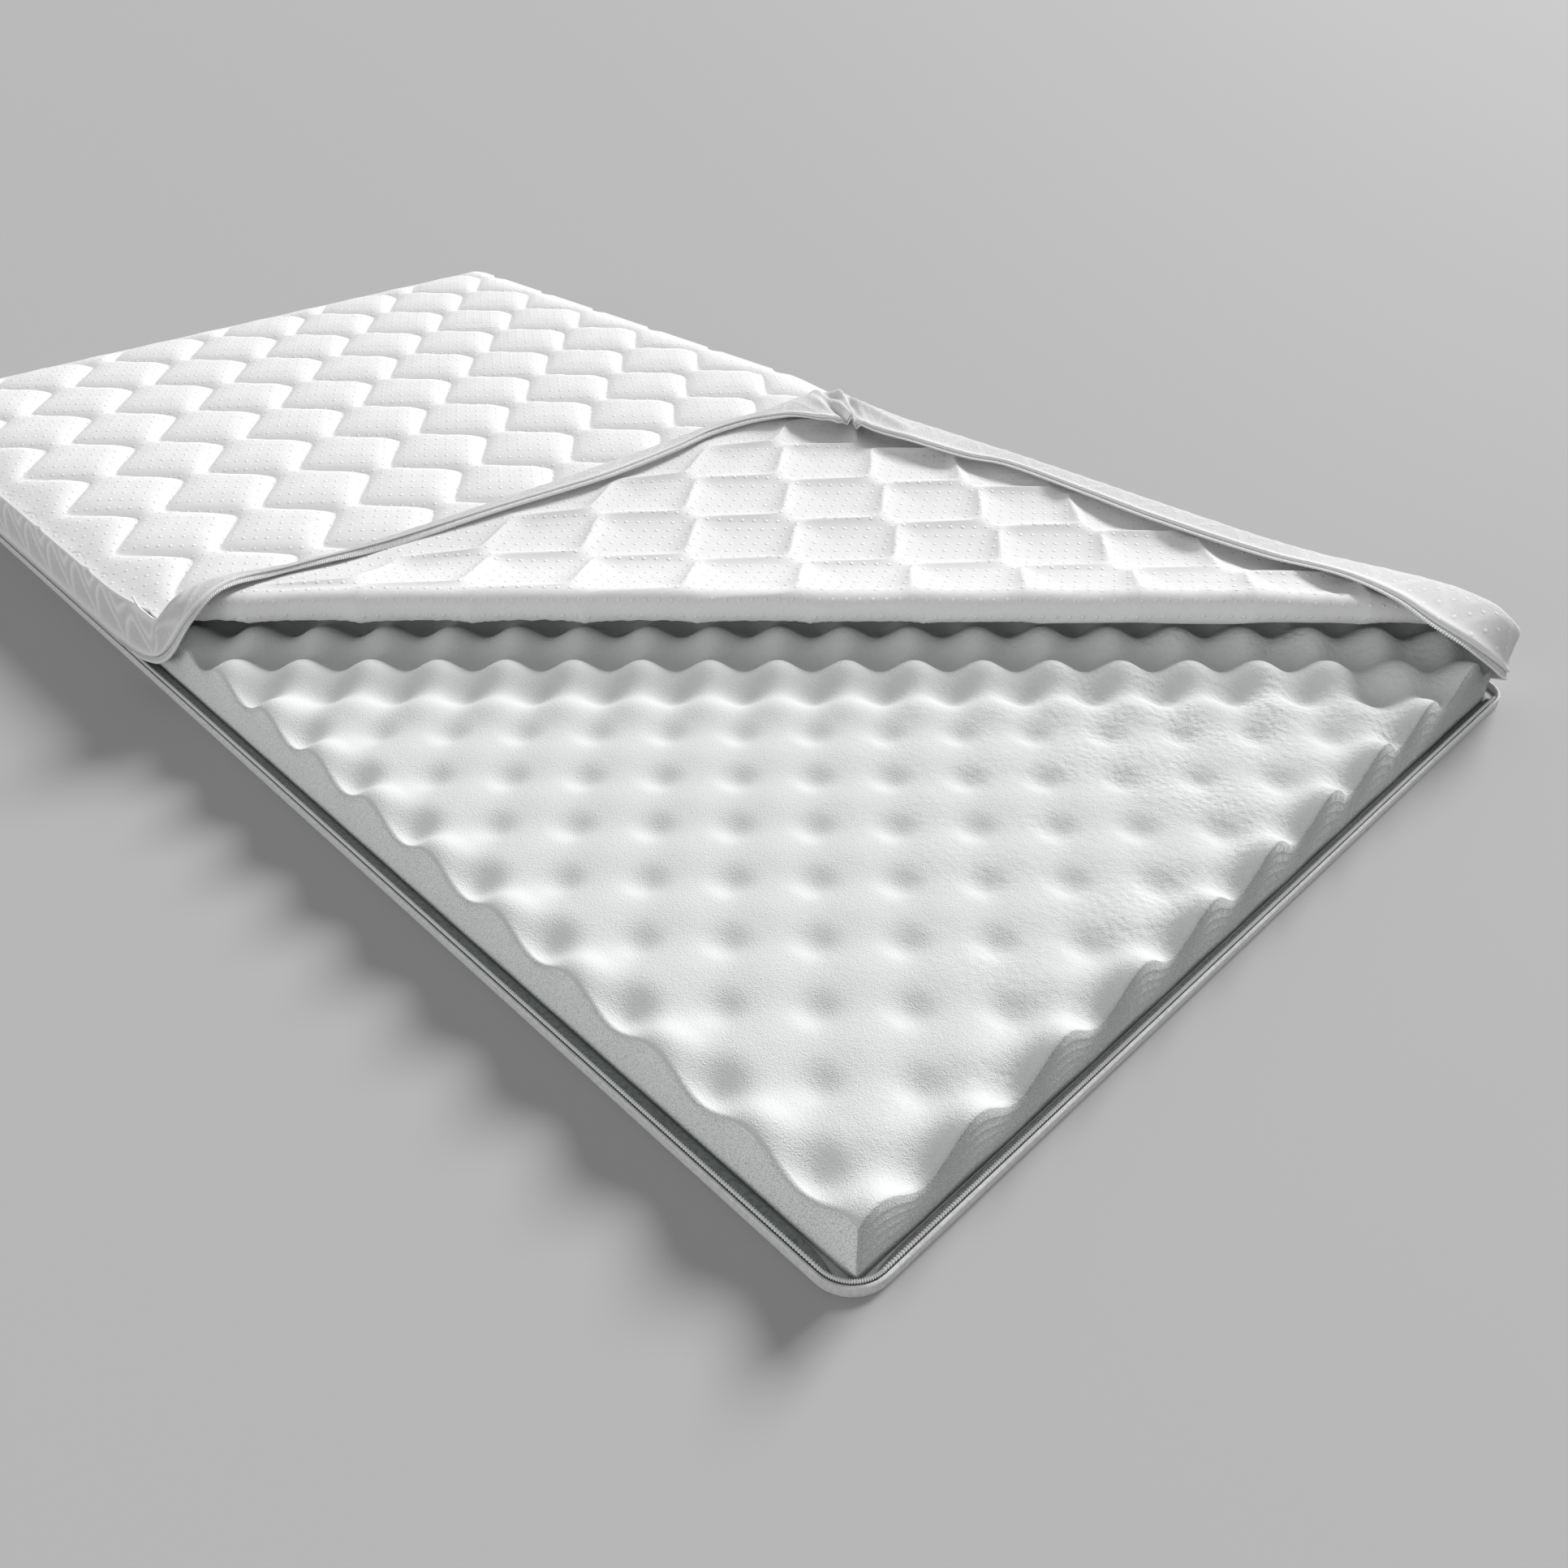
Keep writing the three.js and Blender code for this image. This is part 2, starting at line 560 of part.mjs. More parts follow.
// The quilted lid, with its corner folded back. Its mesh follows the zigzag lines.
function topPanel() {
  const halfX = HALF_X - PANEL_INSET;
  const halfY = HALF_Y - PANEL_INSET;
  const columns = [];
  for (let c = -QUILT_HALF_COLUMNS; c <= QUILT_HALF_COLUMNS; c += 1) columns.push(c);
  const lastRow = halfY - SHOULDER_ROW;
  const rows = [-halfY, -halfY + SHOULDER_ROW];
  const firstRow = QUILT_START_Y - 7 * QUILT_WAVE;
  for (let v = firstRow; v < lastRow - LAST_ROW_GAP; v += QUILT_WAVE / 2) rows.push(v);
  rows.push(lastRow, halfY);
  const box = new THREE.BoxGeometry(1, 1, 1, columns.length + 1, rows.length - 1, 1);
  const flat = moved(joined(box), (a, b, side) => {
    const column = Math.round((a + 0.5) * (columns.length + 1)) - 1;
    const v = rows[Math.round((b + 0.5) * (rows.length - 1))];
    let u = QUILT_START_X + (QUILT_SPACING / 2) * columns[column];
    if (columns[column] % 2 === 0) u = quiltLine(columns[column] / 2, v);
    if (column < 0) u = -halfX;
    if (column === columns.length) u = halfX;
    return { x: u, y: v, z: side };
  });
  const measure = (a, b) => {
    const ends = [beyondFold(a.x, a.y), beyondFold(b.x, b.y)];
    const inRoll = ends.map((s) => clamp(s, -ROLL_BEFORE, ROLL_LENGTH + ROLL_AFTER));
    const across = Math.abs(inRoll[0] - inRoll[1]);
    const lengthwise = Math.abs(a.x - b.x - a.y + b.y) / ROOT2;
    const rims = [a, b].map((p) => Math.min(halfX - Math.abs(p.x), halfY - Math.abs(p.y)));
    const turning = Math.max(...ends) > -TURN_BEFORE && Math.min(...ends) < ROLL_LENGTH + TURN_AFTER;
    const atTip = Math.min(...ends) > TIP_FROM;
    const rimFacet = turning ? RIM_FACET : TIP_RIM_FACET;
    const onRim = Math.max(...rims) < 3 && (turning || atTip) ? a.distanceTo(b) / rimFacet : 0;
    return Math.max(onRim, across > 0 ? Math.max(across / ROLL_FACET, lengthwise / ROLL_FACET_LENGTH) : 0);
  };
  return moved(refined(flat, measure), (x, y, side) => {
    const [u, v] = roundCorner(x, y, halfX, halfY, CORNER - PANEL_INSET);
    return lid(u, v, Math.sign(side) * panelHalf(x, y));
  });
}

// Stations for the border: close together where it turns and where the flap lifts it.
const BORDER_STATIONS = stationsThrough([
  { at: -CORNER, step: 11 },
  { at: CORNER, step: 76 },
  { at: LIFT_START - 15, step: 12 },
  { at: 1060, step: 38 },
  { at: 1660, step: 24 },
  { at: NEAR_LEFT - CORNER, step: 11 },
  { at: NEAR_LEFT + CORNER, step: 24 },
  { at: 2140, step: 38 },
  { at: 2752, step: 12 },
  { at: LIFT_END + 12, step: 76 },
  { at: FAR_RIGHT - CORNER, step: 11 },
  { at: FAR_RIGHT + CORNER, step: 76 },
  { at: ROUND - CORNER, step: 76 },
]);

// The side border, one strip right round the lid.
function sideBorder() {
  const parts = 4;
  const ringCount = 2 * (parts + 1);
  return band(BORDER_STATIONS, ringCount, (e, ring) => {
    const outer = ring <= parts;
    const q = outer ? ring / parts : (ringCount - 1 - ring) / parts;
    return borderFace(e, q, outer ? BORDER_THICK / 2 : -BORDER_THICK / 2);
  });
}

// The upper half of the zip: a tape along the border's free rim.
function upperZipTape() {
  return band(BORDER_STATIONS, 4, (e, ring) => {
    const q = 1 + (ring === 0 || ring === 3 ? RIM_TAPE_START : RIM_TAPE_END) / TAPE_Q;
    return borderFace(e, q, ring < 2 ? TAPE_THICK / 2 : -TAPE_THICK / 2);
  });
}

add("bottom_panel", bottomPanel(), knitGrey);
add("edge_binding", edgeBinding(), tapeWhite);
add("lower_zip_tape", lowerZipTape(), tapeWhite);
add("foam_core", foamCore(), foamWhite);
add("top_panel", topPanel(), knitWhite);
add("side_border", sideBorder(), knitGrey);
add("upper_zip_tape", upperZipTape(), tapeWhite);

export default topper;
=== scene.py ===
# %% [markdown]
# # A mattress topper with its cover unzipped
# The object is a block of egg-crate foam inside a zip-off quilted cover. One corner of the quilted lid
# is folded back, so this lesson has three subjects: a foam block, a quilted cloth that is rolled over a
# fold line, and the narrow strips (border, binding, zip) that finish the cover's edges.
# Every soft piece is made the same way. A bmesh operator makes a flat or ring-shaped grid, and one
# function of the sewing pattern moves its vertices to where the cloth lies.

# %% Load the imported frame
import math
import bmesh
import bpy
import numpy as np
from mathutils import Matrix, Vector


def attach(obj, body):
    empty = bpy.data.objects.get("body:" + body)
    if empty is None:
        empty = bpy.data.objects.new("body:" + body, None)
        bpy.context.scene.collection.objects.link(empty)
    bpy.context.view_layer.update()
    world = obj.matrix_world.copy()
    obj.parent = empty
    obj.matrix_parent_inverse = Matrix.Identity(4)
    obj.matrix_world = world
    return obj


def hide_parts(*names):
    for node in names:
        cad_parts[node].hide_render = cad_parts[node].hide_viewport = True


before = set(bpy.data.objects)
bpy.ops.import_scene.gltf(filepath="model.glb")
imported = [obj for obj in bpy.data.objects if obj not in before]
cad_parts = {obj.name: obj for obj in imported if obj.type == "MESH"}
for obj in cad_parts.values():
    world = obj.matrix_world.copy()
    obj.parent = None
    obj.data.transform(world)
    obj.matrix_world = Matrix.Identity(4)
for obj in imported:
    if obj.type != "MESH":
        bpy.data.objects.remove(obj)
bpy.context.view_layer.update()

print("nodes:", sorted(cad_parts))

# %% [markdown]
# ## Sizes
# All sizes are in metres. The cloth's own coordinates (u, v) are the flat lid's plan, with the middle of
# the topper at 0, 0, so the fold, the quilting and the knit can all be given on the flat cloth.

# %% Sizes of the topper
MM = 0.001
HALF_X = 500 * MM
HALF_Y = 950 * MM
CORNER = 33 * MM
ROUND = 4 * (HALF_X + HALF_Y)
NEAR_LEFT = 2 * HALF_Y
NEAR_RIGHT = NEAR_LEFT + 2 * HALF_X
FAR_RIGHT = NEAR_RIGHT + 2 * HALF_Y
ROOT2 = math.sqrt(2)

PANEL_LEVEL = 90 * MM
PANEL_INSET = 5 * MM
SEAM_HALF = 2.5 * MM
SEAM_INSET = 2.7 * MM
ROLL_RADIUS = 16 * MM
ROLL_LENGTH = math.pi * ROLL_RADIUS
FOLD_SUM = HALF_X - HALF_Y
FOLD_RIGHT_END = (HALF_X + HALF_Y) / ROOT2
FOLD_LEFT_END = FOLD_RIGHT_END - 2 * HALF_X * ROOT2
RIGHT_SINK = 9 * MM
SINK_REACH = 120 * MM


# %% Small helpers
def smooth(value):
    k = np.clip(value, 0, 1)
    return k * k * (3 - 2 * k)


def mix(a, b, k):
    return a + (b - a) * k


def beyond_fold(x, y):
    """How far a place is past the fold line, towards the opened corner."""
    return (FOLD_SUM - x - y) / ROOT2


def pressed(x, y):
    """The topper lies a little lower along its right side."""
    return RIGHT_SINK * smooth(1 - (HALF_X - x) / SINK_REACH) * (1 - smooth(y / SINK_REACH))


# %% [markdown]
# ## From the flat lid to the folded lid
# A real lid is one flat quilted cloth, and its corner is turned back over itself. The same can be said
# in numbers: behind the fold line nothing moves, over the fold the cloth follows half a circle, and past
# it the cloth runs back the other way, inside up. A simulation would need care to end in exactly the
# pose of the photograph, so the fold is written as a function instead.

# %% How the fold departs from an even roll
EDGE_DROP = 2.5 * MM
EDGE_DROP_WIDTH = 28 * MM
EDGE_ROLL = 3 * MM
EDGE_ROLL_WIDTH = 50 * MM
EDGE_ROLL_ENDS = 60 * MM
RIGHT_FLATTENING = 0.44
RIGHT_FLAT_REACH = 340 * MM
LEFT_FLATTENING = 0.32
LEFT_FLAT_REACH = 220 * MM
FLAP_REST = 13 * MM
FLAP_SETTLE = 130 * MM
TIP_REACH = 260 * MM
TIP_PULL = 45 * MM
TIP_LIFT = 5 * MM
FOLD_BEFORE = 80 * MM
FOLD_AFTER = 90 * MM
LEFT_SHIFT = 8 * MM
RIGHT_SHIFT = 5 * MM
SHIFT_REACH = 130 * MM
SHORT_PULL = 22 * MM
SHORT_PULL_START = 20 * MM
LONG_PULL = 25 * MM
LONG_PULL_BLEND = 80 * MM
LONG_PULL_WIDTH = 120 * MM
PULL_REACH = 170 * MM


# %% Roll the lid's cloth over its fold line
def lid(u, v, h):
    """Where a point of the flat lid lies; h is its height over the middle of the cloth."""
    s = beyond_fold(u, v)
    edge = np.minimum(HALF_X - np.abs(u), HALF_Y - np.abs(v))
    in_place = 1 - smooth(s / EDGE_ROLL_ENDS + 1)
    outward = h - EDGE_DROP * (1 - smooth((edge - SEAM_INSET) / EDGE_DROP_WIDTH))
    outward = outward - EDGE_ROLL * (1 - smooth((edge - PANEL_INSET) / EDGE_ROLL_WIDTH)) ** 2 * in_place
    t = (u - v) / ROOT2
    flat_right = 1 - smooth((FOLD_RIGHT_END - t) / RIGHT_FLAT_REACH)
    flat_left = 1 - smooth((t - FOLD_LEFT_END) / LEFT_FLAT_REACH)
    height = 1 - RIGHT_FLATTENING * flat_right - LEFT_FLATTENING * flat_left
    turn = np.clip(s, 0, ROLL_LENGTH) / ROLL_RADIUS
    roll_reach = (ROLL_RADIUS - outward) * np.sin(turn)
    roll_z = PANEL_LEVEL + height * ROLL_RADIUS * (1 - np.cos(turn)) + outward * np.cos(turn)
    back = np.maximum(s - ROLL_LENGTH, 0)
    tip = smooth(1 - np.hypot(u + HALF_X, v + HALF_Y) / TIP_REACH)
    lift = mix(2 * ROLL_RADIUS * height, FLAP_REST, smooth(back / FLAP_SETTLE))
    reach = np.where(s <= 0, s, np.where(s < ROLL_LENGTH, roll_reach, TIP_PULL * tip - back))
    z = np.where(s < ROLL_LENGTH, roll_z, PANEL_LEVEL + lift + TIP_LIFT * tip - outward)
    z = np.where(s <= 0, PANEL_LEVEL + outward, z)
    at_fold = smooth(s / FOLD_BEFORE + 1) * (1 - smooth((s - ROLL_LENGTH) / FOLD_AFTER))
    left = LEFT_SHIFT * at_fold * (1 - smooth((t - FOLD_LEFT_END) / SHIFT_REACH))
    right = RIGHT_SHIFT * at_fold * (1 - smooth((FOLD_RIGHT_END - t) / SHIFT_REACH))
    laid_back = smooth((s - ROLL_LENGTH - SHORT_PULL_START) / PULL_REACH)
    beside_short = 1 - smooth((v + HALF_Y - PANEL_INSET) / PULL_REACH)
    pull = SHORT_PULL * laid_back * beside_short * smooth((u + HALF_X) / PULL_REACH)
    beside_long = 1 - smooth((u + HALF_X - PANEL_INSET) / LONG_PULL_WIDTH)
    long_pull = LONG_PULL * smooth((s - ROLL_LENGTH) / LONG_PULL_BLEND) * beside_long
    long_pull = long_pull * smooth((v + HALF_Y) / PULL_REACH)
    x = u + (s - reach) / ROOT2 + left - pull
    y = v + (s - reach) / ROOT2 + right - long_pull
    return np.stack([x, y, z - pressed(x, y)], axis=-1)


# %% [markdown]
# ## Grids that become cloth
# Two helpers make every soft piece. `slab` starts from a flat grid and extrudes it once, which gives a
# closed piece with an upper and a lower face. `hoop` spins a small cross-section into a closed ring for
# the strips that run right round. Both hand their vertices to a placing function and then point all
# faces outwards.

# %% Helpers that build a closed piece and keep its cloth coordinates
def finished(name, bm, placed, cloth):
    """Moves a grid's vertices into place, and keeps the flat cloth's coordinates as a UV map."""
    for vertex, place in zip(bm.verts, placed.tolist()):
        vertex.co = place
    bmesh.ops.recalc_face_normals(bm, faces=bm.faces)
    if bm.calc_volume(signed=True) < 0:
        bmesh.ops.reverse_faces(bm, faces=bm.faces)
    mesh = bpy.data.meshes.new(name)
    bm.to_mesh(mesh)
    bm.free()
    mesh.polygons.foreach_set("use_smooth", np.ones(len(mesh.polygons), bool))
    corners = np.empty(len(mesh.loops), int)
    mesh.loops.foreach_get("vertex_index", corners)
    layer = mesh.uv_layers.new(name="cloth")
    layer.uv.foreach_set("vector", cloth[corners].astype(np.float32).ravel())
    piece = bpy.data.objects.new(name, mesh)
    bpy.context.collection.objects.link(piece)
    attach(piece, "root")
    print(name, "has", len(mesh.polygons), "faces")
    return piece


def slab(columns, rows, layers=1):
    """A closed grid: its vertices' column and row numbers, and 0 to 1 through the thickness."""
    bm = bmesh.new()
    bmesh.ops.create_grid(bm, x_segments=columns, y_segments=rows, size=1)
    step = 2 / layers
    for layer in range(layers):
        if layer == 0:
            made = bmesh.ops.extrude_face_region(bm, geom=bm.faces[:], use_keep_orig=True)
        else:
            made = bmesh.ops.extrude_face_region(bm, geom=last_faces)
        last_faces = [item for item in made["geom"] if isinstance(item, bmesh.types.BMFace)]
        moved = [item for item in made["geom"] if isinstance(item, bmesh.types.BMVert)]
        bmesh.ops.translate(bm, verts=moved, vec=(0, 0, step))
    bm.verts.ensure_lookup_table()
    bm.verts.index_update()
    at = np.array([vertex.co[:] for vertex in bm.verts])
    column = np.rint((at[:, 0] + 1) / 2 * columns).astype(int)
    row = np.rint((at[:, 1] + 1) / 2 * rows).astype(int)
    return bm, column, row, at[:, 2] / 2


HOOP_RADIUS = 3


def hoop(steps, section):
    """A ring spun from a loop of (side, q) points: each vertex's place round it, its side and its q."""
    bm = bmesh.new()
    verts = [bm.verts.new((HOOP_RADIUS + side, 0, q)) for side, q in section]
    edges = [bm.edges.new((verts[i - 1], verts[i])) for i in range(len(verts))]
    bmesh.ops.spin(
        bm, geom=verts + edges, cent=(0, 0, 0), axis=(0, 0, 1), angle=2 * math.pi, steps=steps, use_merge=True
    )
    bm.verts.ensure_lookup_table()
    bm.verts.index_update()
    at = np.array([vertex.co[:] for vertex in bm.verts])
    turn = np.arctan2(at[:, 1], at[:, 0]) / (2 * math.pi) % 1
    return bm, turn * ROUND, np.hypot(at[:, 0], at[:, 1]) - HOOP_RADIUS, at[:, 2]


# %% The topper's rounded outline, walked from the corner at -X, +Y
# Each corner: its place along the walk, its side in X and in Y, and the angle in degrees where it starts
CORNERS = [
    (0, -1, 1, 90),
    (NEAR_LEFT, -1, -1, 180),
    (NEAR_RIGHT, 1, -1, 270),
    (FAR_RIGHT, 1, 1, 0),
    (ROUND, -1, 1, 90),
]


def outline(place, inset):
    e = np.mod(place, ROUND)
    inset = np.broadcast_to(inset, e.shape)
    x = np.where(e < NEAR_LEFT, -HALF_X + inset, -HALF_X + (e - NEAR_LEFT))
    x = np.where(e >= NEAR_RIGHT, HALF_X - inset, x)
    x = np.where(e >= FAR_RIGHT, HALF_X - (e - FAR_RIGHT), x)
    y = np.where(e < NEAR_LEFT, HALF_Y - e, -HALF_Y + inset)
    y = np.where(e >= NEAR_RIGHT, -HALF_Y + (e - NEAR_RIGHT), y)
    y = np.where(e >= FAR_RIGHT, HALF_Y - inset, y)
    for at, side_x, side_y, degrees in CORNERS:
        off = e - at
        angle = math.radians(degrees) + (off + CORNER) / (2 * CORNER) * (math.pi / 2)
        near = np.abs(off) < CORNER
        x = np.where(near, side_x * (HALF_X - CORNER) + (CORNER - inset) * np.cos(angle), x)
        y = np.where(near, side_y * (HALF_Y - CORNER) + (CORNER - inset) * np.sin(angle), y)
    return x, y


# %% Rounded corners for a rectangular grid
def round_corner(u, v, half_x, half_y, radius):
    a = np.maximum((np.abs(u) - half_x + radius) / radius, 0)
    b = np.maximum((np.abs(v) - half_y + radius) / radius, 0)
    both = (a > 0) & (b > 0)
    x = np.sign(u) * (half_x - radius + radius * a * np.sqrt(1 - b * b / 2))
    y = np.sign(v) * (half_y - radius + radius * b * np.sqrt(1 - a * a / 2))
    return np.where(both, x, u), np.where(both, y, v)


# %% [markdown]
# ## The quilted lid
# The quilting is a set of zigzag lines along the bed, neighbours half a wave apart, so the cloth between
# two lines is a chain of pads. Each pad rises from one line and falls over a shorter way to the next,
# which gives every line a bright side and a grey one. The inside face follows the pads at a lower height,
# so the folded flap shows the same zigzag as steps. A displacement map would blur the lines, so the
# grid's columns follow them instead, and each line stays a crisp crease.

# %% Where the zigzag lines run
QUILT_SPACING = 86 * MM
QUILT_WAVE = 148 * MM
QUILT_SWING = 27 * MM
QUILT_START_X = -4 * MM
QUILT_START_Y = 137 * MM
TIP_ROUNDING = 0.94
NEARBY_STEPS = (-36, -18, 0, 18, 36)


def zigzag(turns):
    """A triangle wave of height 1 with rounded tips."""
    wave = np.arcsin(TIP_ROUNDING * np.sin(2 * math.pi * (turns + 0.25)))
    return wave / math.asin(TIP_ROUNDING)


def quilt_line(k, v):
    return QUILT_START_X + QUILT_SPACING * k - QUILT_SWING * zigzag((v - QUILT_START_Y) / QUILT_WAVE + k / 2)


def seam_distances(u, v):
    """How far a point of the cloth is from the next zigzag line on its -X side and on its +X side."""
    nearest = np.rint((u - QUILT_START_X) / QUILT_SPACING)
    before, after = np.full(np.shape(u), 1.0), np.full(np.shape(u), 1.0)
    for k in (nearest - 1, nearest, nearest + 1):
        across = np.full(np.shape(u), 1.0)
        for step in NEARBY_STEPS:
            across = np.minimum(across, np.hypot(u - quilt_line(k, v + step * MM), step * MM))
        beyond = u >= quilt_line(k, v)
        before = np.where(beyond, np.minimum(before, across), before)
        after = np.where(beyond, after, np.minimum(after, across))
    return before, after


# %% How far the pads puff out: a long slope up from one line, and a shorter one down to the next
PUFF = 11 * MM
RISING_REACH = 41 * MM
RISING_CURVE = 1.7
FALLING_REACH = 30 * MM
FALLING_CURVE = 1.6
FLAT_MARGIN = 70 * MM
UNDER_FLAP_BLEND = 30 * MM


def puff(u, v):
    before, after = seam_distances(u, v)
    rising = 1 - (1 - np.clip(before / RISING_REACH, 0, 1)) ** RISING_CURVE
    falling = 1 - (1 - np.clip(after / FALLING_REACH, 0, 1)) ** FALLING_CURVE
    edge = np.minimum(HALF_X - PANEL_INSET - np.abs(u), HALF_Y - PANEL_INSET - np.abs(v))
    return PUFF * rising * falling * smooth(edge / FLAT_MARGIN)


def under_flap(u, v):
    """1 where the folded flap lies on the lid and presses its pads flat, from the flap's mirror image."""
    s = beyond_fold(u, v)
    across = (ROLL_LENGTH - 2 * s) / ROOT2
    margin = np.minimum(u + HALF_X, v + HALF_Y) - across
    return smooth(margin / UNDER_FLAP_BLEND) * (s < 0)


# %% Build the lid
BAND_STEPS = [0, 0.03, 0.07, 0.12, 0.18, 0.26, 0.36, 0.48, 0.62, 0.76, 0.88, 0.96]
BANDS_EACH_SIDE = 6
ROW_STEP = QUILT_WAVE / 24
LOST_UNDER_FLAP = 0.85
KEPT_ON_FLAP = 0.65
LOST_ON_ROLL = 0.7
ROLL_BLEND = 20 * MM
INNER_SHARE = 0.75


def lid_columns():
    """Each column is (band number, share of the way across that band)."""
    found = []
    for k in range(-BANDS_EACH_SIDE, BANDS_EACH_SIDE):
        found += [(k, share) for share in BAND_STEPS]
    return np.array(found + [(BANDS_EACH_SIDE, 0.0)])


def build_lid():
    half_x, half_y = HALF_X - PANEL_INSET, HALF_Y - PANEL_INSET
    columns = lid_columns()
    rows = np.linspace(-half_y, half_y, round(2 * half_y / ROW_STEP) + 1)
    bm, column, row, side = slab(len(columns) - 1, len(rows) - 1)
    v = rows[row]
    band, share = columns[column, 0], columns[column, 1]
    u = mix(quilt_line(band, v), quilt_line(band + 1, v), share)
    u = np.clip(u, -half_x, half_x)
    flat_u, flat_v = round_corner(u, v, half_x, half_y, CORNER - PANEL_INSET)
    rise = puff(u, v) * (1 - LOST_UNDER_FLAP * under_flap(u, v))
    s = beyond_fold(u, v)
    turned = smooth(s / ROLL_LENGTH)
    on_roll = smooth(s / ROLL_BLEND + 1) * (1 - smooth((s - ROLL_LENGTH) / ROLL_BLEND))
    outer = SEAM_HALF + rise * mix(1, KEPT_ON_FLAP, turned) * (1 - LOST_ON_ROLL * on_roll)
    inner = -SEAM_HALF + INNER_SHARE * rise * (1 - LOST_ON_ROLL * on_roll)
    h = np.where(side > 0.5, outer, inner)
    return finished("quilted_lid", bm, lid(flat_u, flat_v, h), np.stack([u, v], axis=-1))


quilted_lid = build_lid()

# %% [markdown]
# ## The egg-crate foam
# Egg-crate foam is cut with a profiled roller, which leaves rounded pegs and dimples on a square grid
# turned by 45 degrees. The product of two cosines gives that surface. The block's sides are a clean saw
# cut, so the wavy top ends in a sharp scalloped edge.

# %% Build the foam block
FOAM_HALF_X = HALF_X - 17 * MM
FOAM_HALF_Y = HALF_Y - 13 * MM
FOAM_PERIOD = 95 * MM
FOAM_MIDDLE = 66 * MM
PEG_RISE = 1.8 * MM
DIMPLE_DEPTH = 5.4 * MM
EDGE_SWING = 13.5 * MM
FOAM_FLOOR = 3.3 * MM
FIRST_DIMPLE_X = 16 * MM
FIRST_DIMPLE_Y = 51 * MM
SOFT_MARGIN = 60 * MM
SOFT_START = 60 * MM
SOFT_BLEND = 120 * MM
NEAR_SAG = 13 * MM
PLAIN_TOP = 83.4 * MM
PLAIN_EDGE_DROP = 5 * MM
PLAIN_EDGE_WIDTH = 28 * MM
CRATE_START = 100 * MM
CRATE_BLEND = 40 * MM
FOAM_CORNER = 24 * MM
FOAM_GRID = (190, 366, 6)


def foam_top(x, y):
    first_x, first_y = -FOAM_HALF_X + FIRST_DIMPLE_X, -FOAM_HALF_Y + FIRST_DIMPLE_Y
    turn = 2 * math.pi / FOAM_PERIOD
    wave = np.cos(turn * (x - first_x)) * np.cos(turn * (y - first_y))
    edge = np.minimum(FOAM_HALF_X - np.abs(x), FOAM_HALF_Y - np.abs(y))
    s = beyond_fold(x, y)
    open_field = smooth(edge / SOFT_MARGIN) * smooth((s - SOFT_START) / SOFT_BLEND)
    dimples = PEG_RISE * wave + DIMPLE_DEPTH * np.maximum(wave, 0) ** 2
    crate = FOAM_MIDDLE - mix(EDGE_SWING * wave, dimples, open_field)
    sag = NEAR_SAG * smooth(s / (2 * HALF_X / ROOT2))
    plain = PLAIN_TOP - PLAIN_EDGE_DROP * (1 - smooth(edge / PLAIN_EDGE_WIDTH))
    return mix(plain, crate - sag, smooth((s + CRATE_START) / CRATE_BLEND)) - pressed(x, y)


def build_foam():
    columns, rows, layers = FOAM_GRID
    bm, column, row, depth = slab(columns, rows, layers)
    x = (column / columns * 2 - 1) * FOAM_HALF_X
    y = (row / rows * 2 - 1) * FOAM_HALF_Y
    opened = (x < 0) & (y < 0)
    round_x, round_y = round_corner(x, y, FOAM_HALF_X, FOAM_HALF_Y, FOAM_CORNER)
    x, y = np.where(opened, x, round_x), np.where(opened, y, round_y)
    z = mix(FOAM_FLOOR, foam_top(x, y), depth)
    return finished("foam_block", bm, np.stack([x, y, z], axis=-1), np.stack([x, y], axis=-1))


foam_block = build_foam()

# %% [markdown]
# ## The side border
# The border is a strip of lighter quilting sewn to the lid's edge. Where the lid is in place it comes over
# a round shoulder and hangs straight down. Where the lid is folded back nothing holds it, so it stands up
# off the flap and falls inwards. A cubic curve across the strip, from the seam to a measured rim line,
# gives both. A place on it is e, along the strip in metres, and q, 0 at the seam and 1 at the rim.

